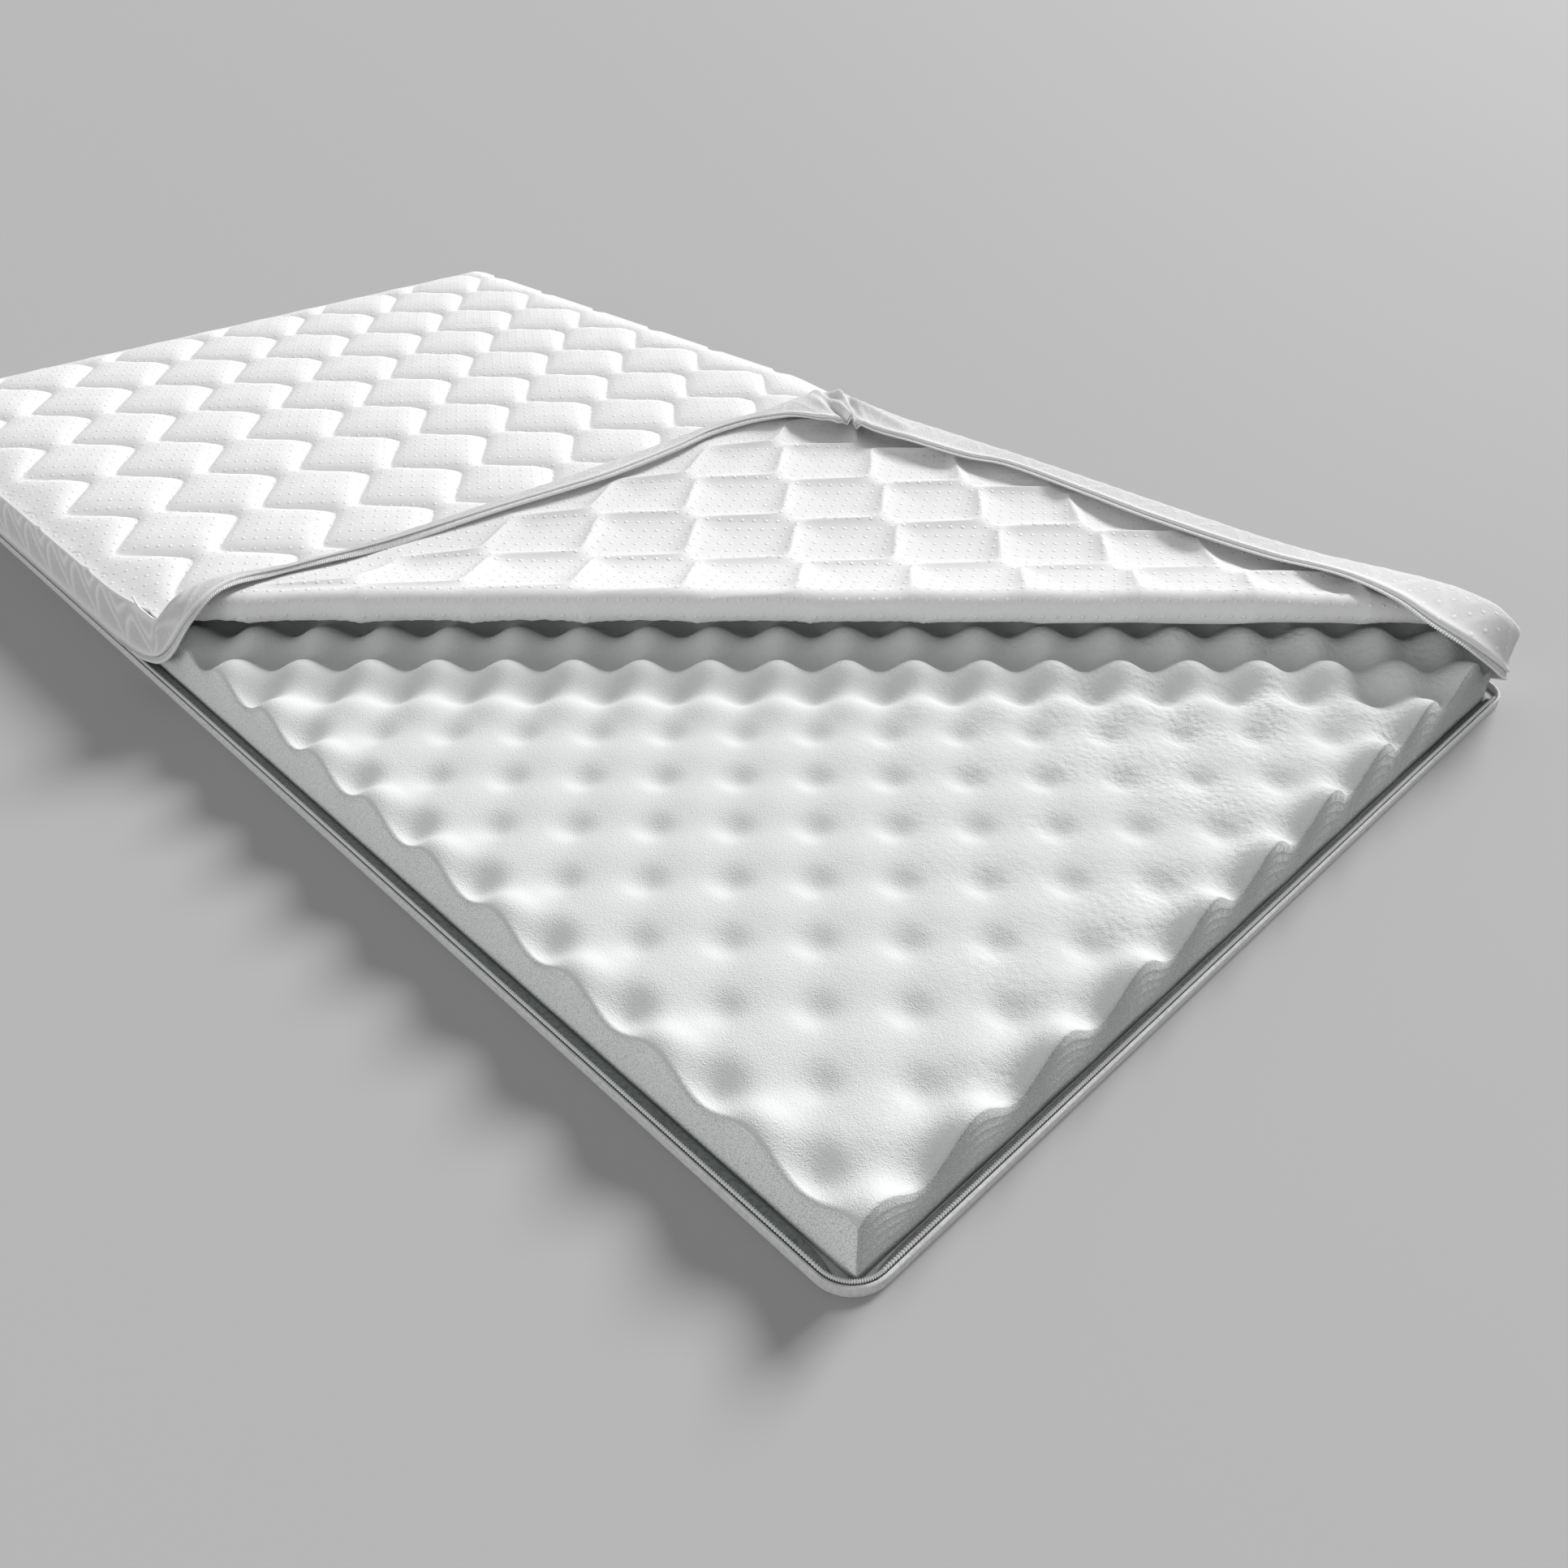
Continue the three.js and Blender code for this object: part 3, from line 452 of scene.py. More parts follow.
# %% The rim line of the border where it has come loose, in millimetres
RIM_COLUMNS = ("at", "x", "y", "z", "rise", "arch", "bow")
RIM_LINE = [
    (790, -496, 160, 17, 20, 0, 0),
    (825, -496, 122, 21, 18, 0, 0),
    (865, -496, 78, 33, 14, 0, 0),
    (900, -496, 38, 50, 8, 0, 0),
    (935, -493, 0, 76, 10, 4, 4),
    (971, -474, -20, 108, 14, 9, 6),
    (1010, -440, -22, 127, 16, 11, 8),
    (1060, -388, -18, 127, 16, 11, 8),
    (1120, -320, -16, 122, 15, 10, 8),
    (1200, -237, -20, 114, 14, 10, 8),
    (1330, -103, -38, 112.5, 14, 8, 8),
    (1450, 15, -60, 112, 14, 8, 8),
    (1500, 64, -60, 112, 14, 8, 8),
    (1590, 147, -48, 112.5, 14, 8, 8),
    (1660, 213, -32, 115, 14, 11, 8),
    (1730, 276, -44, 116, 14, 9, 8),
    (1800, 314, -92, 118, 17, 8, 8),
    (1860, 342, -122, 121, 19, 8, 8),
    (1900, 350, -140, 122, 19, 10, 8),
    (1940, 354, -156, 121, 19, 10, 8),
    (2010, 360, -188, 118, 18, 10, 8),
    (2090, 372, -226, 115, 14, 8, 8),
    (2190, 386, -306, 112, 14, 8, 8),
    (2260, 404, -358, 112, 14, 8, 8),
    (2380, 400, -472, 112, 14, 8, 8),
    (2480, 394, -570, 112, 14, 8, 8),
    (2620, 396, -708, 113.5, 14, 8, 8),
    (2700, 390, -790, 123, 16, 8, 8),
    (2760, 376, -852, 125, 18, 11, 8),
    (2800, 368, -894, 117, 20, 13, 6),
    (2832, 386, -925, 99, 17, 10, 4),
    (2865, 424, -944, 70, 12, 5, 3),
    (2893, 464, -946.5, 44, 8, 0, 0),
    (2916, 489, -941, 29, 10, 0, 0),
    (2938, 495, -922, 21, 16, 0, 0),
    (2980, 496, -870, 17, 20, 0, 0),
]
RIM = {name: np.array([row[i] for row in RIM_LINE], float) * MM for i, name in enumerate(RIM_COLUMNS)}
LIFT_START = 790 * MM
LIFT_END = NEAR_RIGHT + 80 * MM
BORDER_FOOT = 17 * MM
SHOULDER_INSET = 26 * MM
TUCKED_UNDER = 3 * MM
SEAM_MOVE = 1.5 * MM
TUCK_SHARE = 0.5
TUCK_LIFT = 9 * MM
ARCHED_FROM = 6 * MM
ARCHED_BACK = 0.7
UPRIGHT = 0.95
PAST_RIM = 100 * MM

# Stretches along the border: where each starts and how soon, where it ends and how soon
LOOSE = (LIFT_START + 30 * MM, 60 * MM, LIFT_END - 100 * MM, 60 * MM)
TUCKED = (980 * MM, 80 * MM, 1780 * MM, 80 * MM)
FREE = (LIFT_START, 100 * MM, LIFT_END - 60 * MM, 60 * MM)
SLACK = (LIFT_START + 100 * MM, 150 * MM, LIFT_END - 100 * MM, 60 * MM)


def along_rim(place, column):
    """A smooth curve through one column of the rim table."""
    at, value = RIM["at"], RIM[column]
    slope = np.gradient(value, at, edge_order=1)
    inner = (value[2:] - value[:-2]) / (at[2:] - at[:-2])
    slope[1:-1] = inner
    i = np.clip(np.searchsorted(at, place) - 1, 0, len(at) - 2)
    span = at[i + 1] - at[i]
    k = np.clip((place - at[i]) / span, 0, 1)
    bend = (slope[i] * (1 - k) - slope[i + 1] * k) * span * k * (1 - k)
    return mix(value[i], value[i + 1], k * k * (3 - 2 * k)) + bend


def stretch(e, start, start_ramp, end, end_ramp):
    """1 on a stretch of the border, with a smooth ramp where it starts and where it ends."""
    return smooth((e - start) / start_ramp) * (1 - smooth((e - end) / end_ramp))


def unit(vectors):
    return vectors / np.linalg.norm(vectors, axis=-1, keepdims=True)


def border_middle(e, q):
    inset = SEAM_INSET - SEAM_MOVE * stretch(e, *LOOSE)
    u, v = outline(e, inset)
    seam = lid(u, v, 0 * u)
    inward = unit(lid(u, v, 0 * u - MM) - lid(u, v, 0 * u + MM))
    start = seam - inward * SEAM_HALF
    lifted = (e > LIFT_START) & (e < LIFT_END)
    plain_rim = np.stack([start[:, 0], start[:, 1], 0 * e + BORDER_FOOT], axis=-1)
    free_rim = np.stack([along_rim(e, "x"), along_rim(e, "y"), along_rim(e, "z")], axis=-1)
    tucked = TUCK_SHARE * stretch(e, *TUCKED)
    free_rim = mix(free_rim, start, tucked[:, None])
    free_rim[:, 2] += TUCK_LIFT * tucked
    above_foam = 1 - smooth((e - NEAR_RIGHT + 100 * MM) / (60 * MM))
    free_rim[:, 2] -= pressed(free_rim[:, 0], free_rim[:, 1]) * above_foam
    rim = np.where(lifted[:, None], free_rim, plain_rim)
    rise = np.where(lifted, along_rim(e, "rise"), (start[:, 2] - BORDER_FOOT) / 3)
    arch = np.where(lifted, along_rim(e, "arch"), 0)
    bow = np.where(lifted, along_rim(e, "bow"), 0)
    near_u, near_v = outline(e, inset + MM)
    outward = unit(seam - lid(near_u, near_v, 0 * u))
    first = start + inward * rise[:, None] + outward * bow[:, None]
    back = mix(1 / 3, ARCHED_BACK, smooth(arch / ARCHED_FROM))
    second = mix(rim, start, back[:, None])
    second[:, 2] += arch
    held = 1 - stretch(e, *FREE)
    shoulder_u, shoulder_v = outline(e, SHOULDER_INSET)
    on_top = lid(shoulder_u, shoulder_v, SEAM_HALF + puff(shoulder_u, shoulder_v) - TUCKED_UNDER)
    over = on_top + outward * (SHOULDER_INSET - inset)[:, None] + inward * TUCKED_UNDER
    below = mix(rim, start, UPRIGHT)
    start = mix(start, on_top, held[:, None])
    first = mix(first, over, held[:, None])
    second = mix(second, below, held[:, None])
    k = np.minimum(q, 1)[:, None]
    point = (1 - k) ** 3 * start + 3 * (1 - k) ** 2 * k * first + 3 * (1 - k) * k * k * second + k ** 3 * rim
    tangent = unit(rim - second)
    return point + tangent * np.maximum(q - 1, 0)[:, None] * PAST_RIM


def border_face(e, q, depth):
    """A place beside the border's middle; a positive depth lies on its inner side."""
    step_e, step_q = 0.5 * MM, 0.01
    across = border_middle(e + step_e, q) - border_middle(e - step_e, q)
    down = border_middle(e, q + step_q) - border_middle(e, np.maximum(q - step_q, 0))
    normal = unit(np.cross(across, down))
    return border_middle(e, q) + normal * np.asarray(depth)[:, None]


# %% Build the border, with its own zigzag quilting, its hem and the gathers at the flap's tip
BORDER_WIDE = 80 * MM
BORDER_WAVE = 74 * MM
BORDER_STEPS = 1450
BORDER_PARTS = 20
CLOTH_HALF = 1.2 * MM
RIDGE_PLACES = (0.36, 0.70)
RIDGE_SWING = 0.26
RIDGE_WIDTH = 0.06
RIDGE_HEIGHT = 2 * MM
RIDGES_LOST_WHERE_SLACK = 0.75
HEM_PLACE, HEM_WIDTH = 0.97, 0.05
GATHER_PLACE = NEAR_LEFT + 2 * MM
GATHER_REACH = 42 * MM
GATHER_HEIGHT = 4.5 * MM
CREST_LENGTH = 150 * MM
CREST_HEIGHT = 4 * MM


def border_ridges(e, q):
    """1 on the crest of a zigzag ridge or of the hem, and 0 between them."""
    swing = RIDGE_SWING * zigzag(e / BORDER_WAVE)
    ridges = sum(np.exp(-((q - place - swing) / RIDGE_WIDTH) ** 2) for place in RIDGE_PLACES)
    hem = np.exp(-((q - HEM_PLACE) / HEM_WIDTH) ** 2)
    kept = 1 - RIDGES_LOST_WHERE_SLACK * stretch(e, *SLACK)
    return np.maximum(ridges * (1 - hem) * smooth((q - 0.16) / 0.2) * kept, hem)


def gathers(e, q):
    """Small crumpled folds where the border bunches up, and one long soft fold beyond them."""
    near = np.exp(-((e - GATHER_PLACE) / GATHER_REACH) ** 2)
    folds = np.sin(e / (8.5 * MM) + 4 * q) + 0.7 * np.sin(e / (5.1 * MM) - 9 * q + 1)
    crumple = GATHER_HEIGHT * near * folds * smooth((q - 0.1) / 0.4)
    along = (e - GATHER_PLACE) / CREST_LENGTH
    crest = np.exp(-((q - 0.45 - 0.3 * along) / 0.1) ** 2) * smooth(along * 3) * smooth((1.4 - along) * 3)
    return -crumple - CREST_HEIGHT * crest


def build_border():
    shares = [i / BORDER_PARTS for i in range(BORDER_PARTS + 1)]
    section = [(0.1, share) for share in shares] + [(-0.1, share) for share in reversed(shares)]
    bm, e, side, q = hoop(BORDER_STEPS, section)
    ridges = border_ridges(e, q)
    outer = -(CLOTH_HALF + RIDGE_HEIGHT * ridges) * (0.3 + 0.7 * smooth(q / 0.12))
    depth = gathers(e, q) + np.where(side > 0, CLOTH_HALF, outer)
    border = finished("border_strip", bm, border_face(e, q, depth), np.stack([e, q * BORDER_WIDE], axis=-1))
    # The crest attribute marks where the ridges and the hem stand, and sets the painted highlight on them.
    crest = border.data.attributes.new("crest", "FLOAT", "POINT")
    crest.data.foreach_set("value", ridges.astype(np.float32))
    return border


border_strip = build_border()

# %% [markdown]
# ## Bottom, bound edge and zip
# Under the foam lies a flat cloth, and round it stands a pale bound edge that carries the lower half of
# the zip. The upper half runs along the border's free rim. The tapes and the bound edge are rings, swept
# round the same outline as the border, so they meet it everywhere. A zip has thousands of teeth. A mesh of
# its own for each would be heavy, so each row is one rope whose thickness swells once per tooth.

# %% Build the upper half of the zip's tape, along the border's free rim
RING_STEPS = 966
RIM_TAPE_FROM = 0.7 * MM
RIM_TAPE_TO = 6.3 * MM
RIM_TAPE_HALF = 0.6 * MM


def build_upper_tape():
    shares = [0.0, 0.35, 0.7, 1.0]
    section = [(0.1, share) for share in shares] + [(-0.1, share) for share in reversed(shares)]
    bm, e, side, q = hoop(RING_STEPS, section)
    past_rim = mix(RIM_TAPE_FROM, RIM_TAPE_TO, q) / PAST_RIM
    place = border_face(e, 1 + past_rim, gathers(e, 1.0) + np.sign(side) * RIM_TAPE_HALF)
    return finished("rim_tape", bm, place, np.stack([e, q * 6 * MM], axis=-1))


rim_tape = build_upper_tape()

# %% Build the bottom cloth
BOTTOM_INSET = 3.3 * MM
BOTTOM_THICK = 3 * MM


def build_bottom():
    half_x, half_y = HALF_X - BOTTOM_INSET, HALF_Y - BOTTOM_INSET
    columns, rows = 100, 190
    bm, column, row, side = slab(columns, rows)
    u = (column / columns * 2 - 1) * half_x
    v = (row / rows * 2 - 1) * half_y
    x, y = round_corner(u, v, half_x, half_y, CORNER - BOTTOM_INSET)
    place = np.stack([x, y, side * BOTTOM_THICK], axis=-1)
    return finished("bottom_cloth", bm, place, np.stack([u, v], axis=-1))


bottom_cloth = build_bottom()

# %% Build the bound edge round the bottom
BINDING_THICK = 3 * MM
BINDING_TALL = 10 * MM


def build_binding():
    section = [(0, 0.06), (0, 0.3), (0, 0.55), (0, 0.8), (0.12, 0.93), (0.5, 1), (0.88, 0.93), (1, 0.8)]
    section += [(1, 0.55), (1, 0.3), (1, 0.06), (0.8, 0), (0.2, 0)]
    bm, e, side, q = hoop(RING_STEPS, [(s * 0.1, z) for s, z in section])
    x, y = outline(e, side * 10 * BINDING_THICK)
    z = q * BINDING_TALL
    return finished("bound_edge", bm, np.stack([x, y, z], axis=-1), np.stack([e, z], axis=-1))


bound_edge = build_binding()

# %% Build the lower half of the zip's tape, loose along the two opened sides
TRAY_START = 640 * MM
TRAY_END = NEAR_RIGHT - CORNER
TRAY_TAPE_INSET = 3.6 * MM
TRAY_TAPE_WIDE = 11.6 * MM
TRAY_TAPE_NARROW = 7.6 * MM
TRAY_TAPE_AT_CORNER = 2.2 * MM
TRAY_TAPE_THICK = 1.2 * MM


def build_lower_tape():
    columns, rows = 560, 8
    bm, column, row, side = slab(columns, rows)
    e = TRAY_START + (TRAY_END - TRAY_START) * column / columns
    k = row / rows
    room = np.where(e < NEAR_LEFT, TRAY_TAPE_WIDE, TRAY_TAPE_NARROW)
    width = mix(room, TRAY_TAPE_AT_CORNER, np.exp(-((e - NEAR_LEFT) / CORNER) ** 2))
    x, y = outline(e, TRAY_TAPE_INSET + k * width)
    slump = 0.7 * MM * np.sin(e / 0.023) + 0.5 * MM * np.sin(e / 0.0061 + 2 * np.sin(e / 0.05))
    z = mix(9 * MM, 5.4 * MM, k) + slump * np.sin(math.pi * k) + (side - 0.5) * TRAY_TAPE_THICK
    return finished("tray_tape", bm, np.stack([x, y, z], axis=-1), np.stack([e, k * 12 * MM], axis=-1))


tray_tape = build_lower_tape()

# %% Build the zip's two rows of teeth as beaded ropes
TOOTH_PITCH = 2.4 * MM
TOOTH_SIZE = 3.2 * MM
STEPS_PER_TOOTH = 4


def build_teeth(name, start, end, placing):
    """placing gives a place on the rope, from how far it is along, across and above the rope's middle."""
    columns = round((end - start) / TOOTH_PITCH) * STEPS_PER_TOOTH
    bm, column, row, side = slab(columns, 2)
    e = start + (end - start) * column / columns
    bead = 0.5 + 0.5 * np.cos(2 * math.pi * column / STEPS_PER_TOOTH)
    across = (row / 2 - 0.5) * TOOTH_SIZE * (0.5 + 0.5 * bead)
    upward = (side - 0.5) * TOOTH_SIZE * np.where(row == 1, 1, 0.55) * bead
    return finished(name, bm, placing(e, across, upward), np.stack([e, across], axis=-1))


def on_tray(e, across, upward):
    x, y = outline(e, 4.6 * MM + across)
    return np.stack([x, y, 10.6 * MM + upward], axis=-1)


def on_rim(e, across, upward):
    return border_face(e, 1 + (6.6 * MM + across) / PAST_RIM, gathers(e, 1.0) + upward)


tray_teeth = build_teeth("tray_teeth", TRAY_START, TRAY_END, on_tray)
rim_teeth = build_teeth("rim_teeth", LIFT_START + 20 * MM, LIFT_END - 20 * MM, on_rim)

# %% [markdown]
# ## Finishes
# Cloth and foam look right up close only if their small pattern has its true size, so every pattern is
# given in millimetres on the cloth's own flat coordinates. What several finishes share is built once as
# a node group: the knit's raised dots, its fine loops, and the foam's open cells.

# %% A short way to wire shader nodes
class Wiring:
    """Adds nodes to a tree; a number or a socket may feed any input."""

    def __init__(self, tree):
        self.tree = tree

    def feed(self, socket, value):
        if isinstance(value, bpy.types.NodeSocket):
            self.tree.links.new(value, socket)
        else:
            socket.default_value = value

    def math(self, operation, a, b=0.0, clamp=False):
        node = self.tree.nodes.new("ShaderNodeMath")
        node.operation = operation
        node.use_clamp = clamp
        self.feed(node.inputs[0], a)
        self.feed(node.inputs[1], b)
        return node.outputs[0]

    def step(self, value, low, high):
        """0 below low, 1 above high, and a smooth ramp between them."""
        node = self.tree.nodes.new("ShaderNodeMapRange")
        node.interpolation_type = "SMOOTHSTEP"
        self.feed(node.inputs["Value"], value)
        node.inputs["From Min"].default_value = low
        node.inputs["From Max"].default_value = high
        return node.outputs["Result"]

    def mix_colour(self, share, a, b):
        node = self.tree.nodes.new("ShaderNodeMix")
        node.data_type = "RGBA"
        self.feed(node.inputs[0], share)
        self.feed(node.inputs[6], a)
        self.feed(node.inputs[7], b)
        return node.outputs[2]

    def noise(self, place, scale, detail=2.0, roughness=0.5):
        node = self.tree.nodes.new("ShaderNodeTexNoise")
        self.feed(node.inputs["Vector"], place)
        node.inputs["Scale"].default_value = scale
        node.inputs["Detail"].default_value = detail
        node.inputs["Roughness"].default_value = roughness
        return node.outputs["Fac"]

    def cells(self, place, scale, feature="F1"):
        node = self.tree.nodes.new("ShaderNodeTexVoronoi")
        node.feature = feature
        self.feed(node.inputs["Vector"], place)
        node.inputs["Scale"].default_value = scale
        return node.outputs["Distance"]

    def group(self, group, **values):
        node = self.tree.nodes.new("ShaderNodeGroup")
        node.node_tree = group
        for name, value in values.items():
            self.feed(node.inputs[name.replace("_", " ")], value)
        return node


def new_group(name, inputs, outputs):
    group = bpy.data.node_groups.new(name, "ShaderNodeTree")
    for socket, kind, default in inputs:
        made = group.interface.new_socket(socket, in_out="INPUT", socket_type=kind)
        if default is not None:
            made.default_value = default
    for socket, kind in outputs:
        group.interface.new_socket(socket, in_out="OUTPUT", socket_type=kind)
    wiring = Wiring(group)
    return group, wiring, group.nodes.new("NodeGroupInput"), group.nodes.new("NodeGroupOutput")


# %% The knit's raised dots, on a slanting grid of 9.4 by 24 mm
TO_MM = 1000.0
DOT_ACROSS = 9.4
DOT_ALONG = 24.0


def make_dots():
    group, w, given, out = new_group(
        "knit dots",
        [("Cloth", "NodeSocketVector", None), ("Dot radius", "NodeSocketFloat", 2.6)],
        [("Dot", "NodeSocketFloat"), ("Rim", "NodeSocketFloat")],
    )
    split = group.nodes.new("ShaderNodeSeparateXYZ")
    group.links.new(given.outputs["Cloth"], split.inputs[0])
    u, v = (w.math("MULTIPLY", split.outputs[i], TO_MM) for i in (0, 1))
    across = w.math("DIVIDE", u, DOT_ACROSS)
    along = w.math("DIVIDE", w.math("ADD", u, v), DOT_ALONG)
    off_across = w.math("SUBTRACT", w.math("FRACT", w.math("ADD", across, 0.5)), 0.5)
    off_along = w.math("SUBTRACT", w.math("FRACT", w.math("ADD", along, 0.5)), 0.5)
    off_u = w.math("MULTIPLY", off_across, DOT_ACROSS)
    off_v = w.math("SUBTRACT", w.math("MULTIPLY", off_along, DOT_ALONG), off_u)
    far = w.math("SQRT", w.math("ADD", w.math("MULTIPLY", off_u, off_u), w.math("MULTIPLY", off_v, off_v)))
    share = w.math("DIVIDE", far, given.outputs["Dot radius"])
    group.links.new(w.math("SUBTRACT", 1.0, w.step(share, 0.25, 1.0)), out.inputs["Dot"])
    # The ring round each dot only darkens the colour there: a painted shadow round the raised dot.
    ring = w.math("MULTIPLY", w.step(share, 0.7, 1.05), w.math("SUBTRACT", 1.0, w.step(share, 1.05, 1.7)))
    group.links.new(ring, out.inputs["Rim"])
    return group


knit_dots = make_dots()


# %% The fine loops of a knit or a woven tape, with a little unevenness
# A wave with a length of 1 mm turns by this much over a metre
TURN_PER_METRE = 6283.2


def make_loops():
    group, w, given, out = new_group(
        "fine loops",
        [
            ("Cloth", "NodeSocketVector", None),
            ("Rib", "NodeSocketFloat", 1.6),
            ("Course", "NodeSocketFloat", 1.2),
        ],
        [("Height", "NodeSocketFloat"), ("Fleck", "NodeSocketFloat")],
    )
    split = group.nodes.new("ShaderNodeSeparateXYZ")
    group.links.new(given.outputs["Cloth"], split.inputs[0])
    rib = w.math("DIVIDE", w.math("MULTIPLY", split.outputs[0], TURN_PER_METRE), given.outputs["Rib"])
    course = w.math("DIVIDE", w.math("MULTIPLY", split.outputs[1], TURN_PER_METRE), given.outputs["Course"])
    rib_wave = w.math("ABSOLUTE", w.math("SINE", rib))
    loop = w.math("SINE", w.math("ADD", course, w.math("MULTIPLY", rib_wave, 2.0)))
    height = w.math("ADD", w.math("MULTIPLY", loop, 0.35), rib_wave)
    uneven = w.noise(given.outputs["Cloth"], 260.0, 3.0, 0.6)
    group.links.new(w.math("ADD", w.math("MULTIPLY", height, 0.6), uneven), out.inputs["Height"])
    group.links.new(uneven, out.inputs["Fleck"])
    return group


fine_loops = make_loops()


# %% The foam's open cells, and the leathery skin that the cutting roller leaves on one side of the pegs
def make_foam_cells():
    group, w, given, out = new_group(
        "open cells",
        [("Place", "NodeSocketVector", None), ("Skin", "NodeSocketFloat", 0.5)],
        [("Height", "NodeSocketFloat"), ("Pore", "NodeSocketFloat")],
    )
    place = given.outputs["Place"]
    pore = w.cells(place, 900.0)
    grain = w.noise(place, 420.0, 3.0, 0.65)
    crease = w.cells(place, 170.0, "SMOOTH_F1")
    wander = w.noise(place, 120.0, 3.0, 0.6)
    skin = w.math("MULTIPLY", given.outputs["Skin"], w.math("ADD", w.math("MULTIPLY", crease, 1.4), wander))
    fine = w.math("ADD", w.math("MULTIPLY", pore, 0.35), w.math("MULTIPLY", grain, 0.5))
    group.links.new(w.math("ADD", fine, skin), out.inputs["Height"])
    group.links.new(w.step(pore, 0.35, 0.75), out.inputs["Pore"])
    return group


open_cells = make_foam_cells()


# %% A material whose shader is ready to be wired
def new_material(name, colour, roughness):
    material = bpy.data.materials.new(name)
    material.use_nodes = True
    tree = material.node_tree
    shader = tree.nodes["Principled BSDF"]
    shader.inputs["Base Color"].default_value = (*colour, 1)
    shader.inputs["Roughness"].default_value = roughness
    return material, Wiring(tree), shader


def cloth_coordinates(wiring):
    node = wiring.tree.nodes.new("ShaderNodeUVMap")
    node.uv_map = "cloth"
    return node.outputs["UV"]


def object_coordinates(wiring):
    return wiring.tree.nodes.new("ShaderNodeTexCoord").outputs["Object"]


def bump(wiring, shader, height, distance):
    node = wiring.tree.nodes.new("ShaderNodeBump")
    node.inputs["Distance"].default_value = distance
    node.inputs["Strength"].default_value = 1.0
    wiring.feed(node.inputs["Height"], height)
    wiring.tree.links.new(node.outputs["Normal"], shader.inputs["Normal"])


# %% White knit for the cover
def make_knit(name, light, shade, dot_height, radius=2.6, painted_light_colour=None):
    """The last colour, if given, is painted light: the paler colour of a border's ridges and hem, and of its
    edge along the lid.
    """
    material, w, shader = new_material(name, light, 0.92)
    cloth = cloth_coordinates(w)
    dots = w.group(knit_dots, Cloth=cloth, Dot_radius=radius)
    loops = w.group(fine_loops, Cloth=cloth, Rib=1.7, Course=1.3)
    raised = w.math("MULTIPLY", dots.outputs["Dot"], dot_height)
    loop_height = w.math("MULTIPLY", loops.outputs["Height"], 0.16)
    bump(w, shader, w.math("ADD", raised, loop_height), 1.6 * MM)
    # Painted shade: the ground between the raised dots and a ring round each dot are darkened as if in shade,
    # so the dots stand out as painted highlights. The flecks are the knit's own uneven tone.
    fleck = w.math("MULTIPLY", w.step(loops.outputs["Fleck"], 0.62, 0.3), 0.25)
    painted_shade_between_dots = w.math("MULTIPLY", w.math("SUBTRACT", 1.0, dots.outputs["Dot"]), 0.75)
    ring = w.math("MULTIPLY", dots.outputs["Rim"], 0.25)
    painted_shade_and_fleck = w.math("ADD", ring, w.math("ADD", fleck, painted_shade_between_dots), clamp=True)
    colour = w.mix_colour(painted_shade_and_fleck, (*light, 1), (*shade, 1))
    # Painted light: the ridge crests, the hem and the edge along the lid get the paler colour as if lit.
    if painted_light_colour:
        split = w.tree.nodes.new("ShaderNodeSeparateXYZ")
        w.tree.links.new(cloth, split.inputs[0])
        crest = w.tree.nodes.new("ShaderNodeAttribute")
        crest.attribute_name = "crest"
        colour = w.mix_colour(crest.outputs["Fac"], colour, (*painted_light_colour, 1))
        colour = w.mix_colour(w.step(split.outputs[1], 4 * MM, 30 * MM), (*painted_light_colour, 1), colour)
    w.feed(shader.inputs["Base Color"], colour)
    return material


quilt_knit = make_knit("quilted white knit", (0.97, 0.97, 0.965), (0.84, 0.845, 0.84), dot_height=0.6)
# The border's colours are the white cover knit with painted shade, darker because its faces turn away from
# the key light. Its pale colour is painted light on the ridges, the hem and the edge along the lid.
border_knit_painted_light_and_shade = make_knit(
    "border knit",
    (0.82, 0.825, 0.82),
    (0.68, 0.685, 0.68),
    dot_height=0.36,
    painted_light_colour=(0.95, 0.95, 0.945),
)
bottom_knit = make_knit("bottom knit", (0.74, 0.745, 0.74), (0.60, 0.605, 0.60), dot_height=0.18, radius=1.6)


# %% Pale open-cell foam
# Painted light and shade: the walls at the sides are coloured paler, and the walls at the ends darker, than
# the light alone makes them.
SIDE_WALLS_PAINTED_LIGHT = (0.94, 0.955, 0.95, 1)
END_WALLS_PAINTED_SHADE = (0.44, 0.455, 0.45, 1)
WALL_DEPTH = 1.5 * MM
WALL_FULL = 0.5 * MM


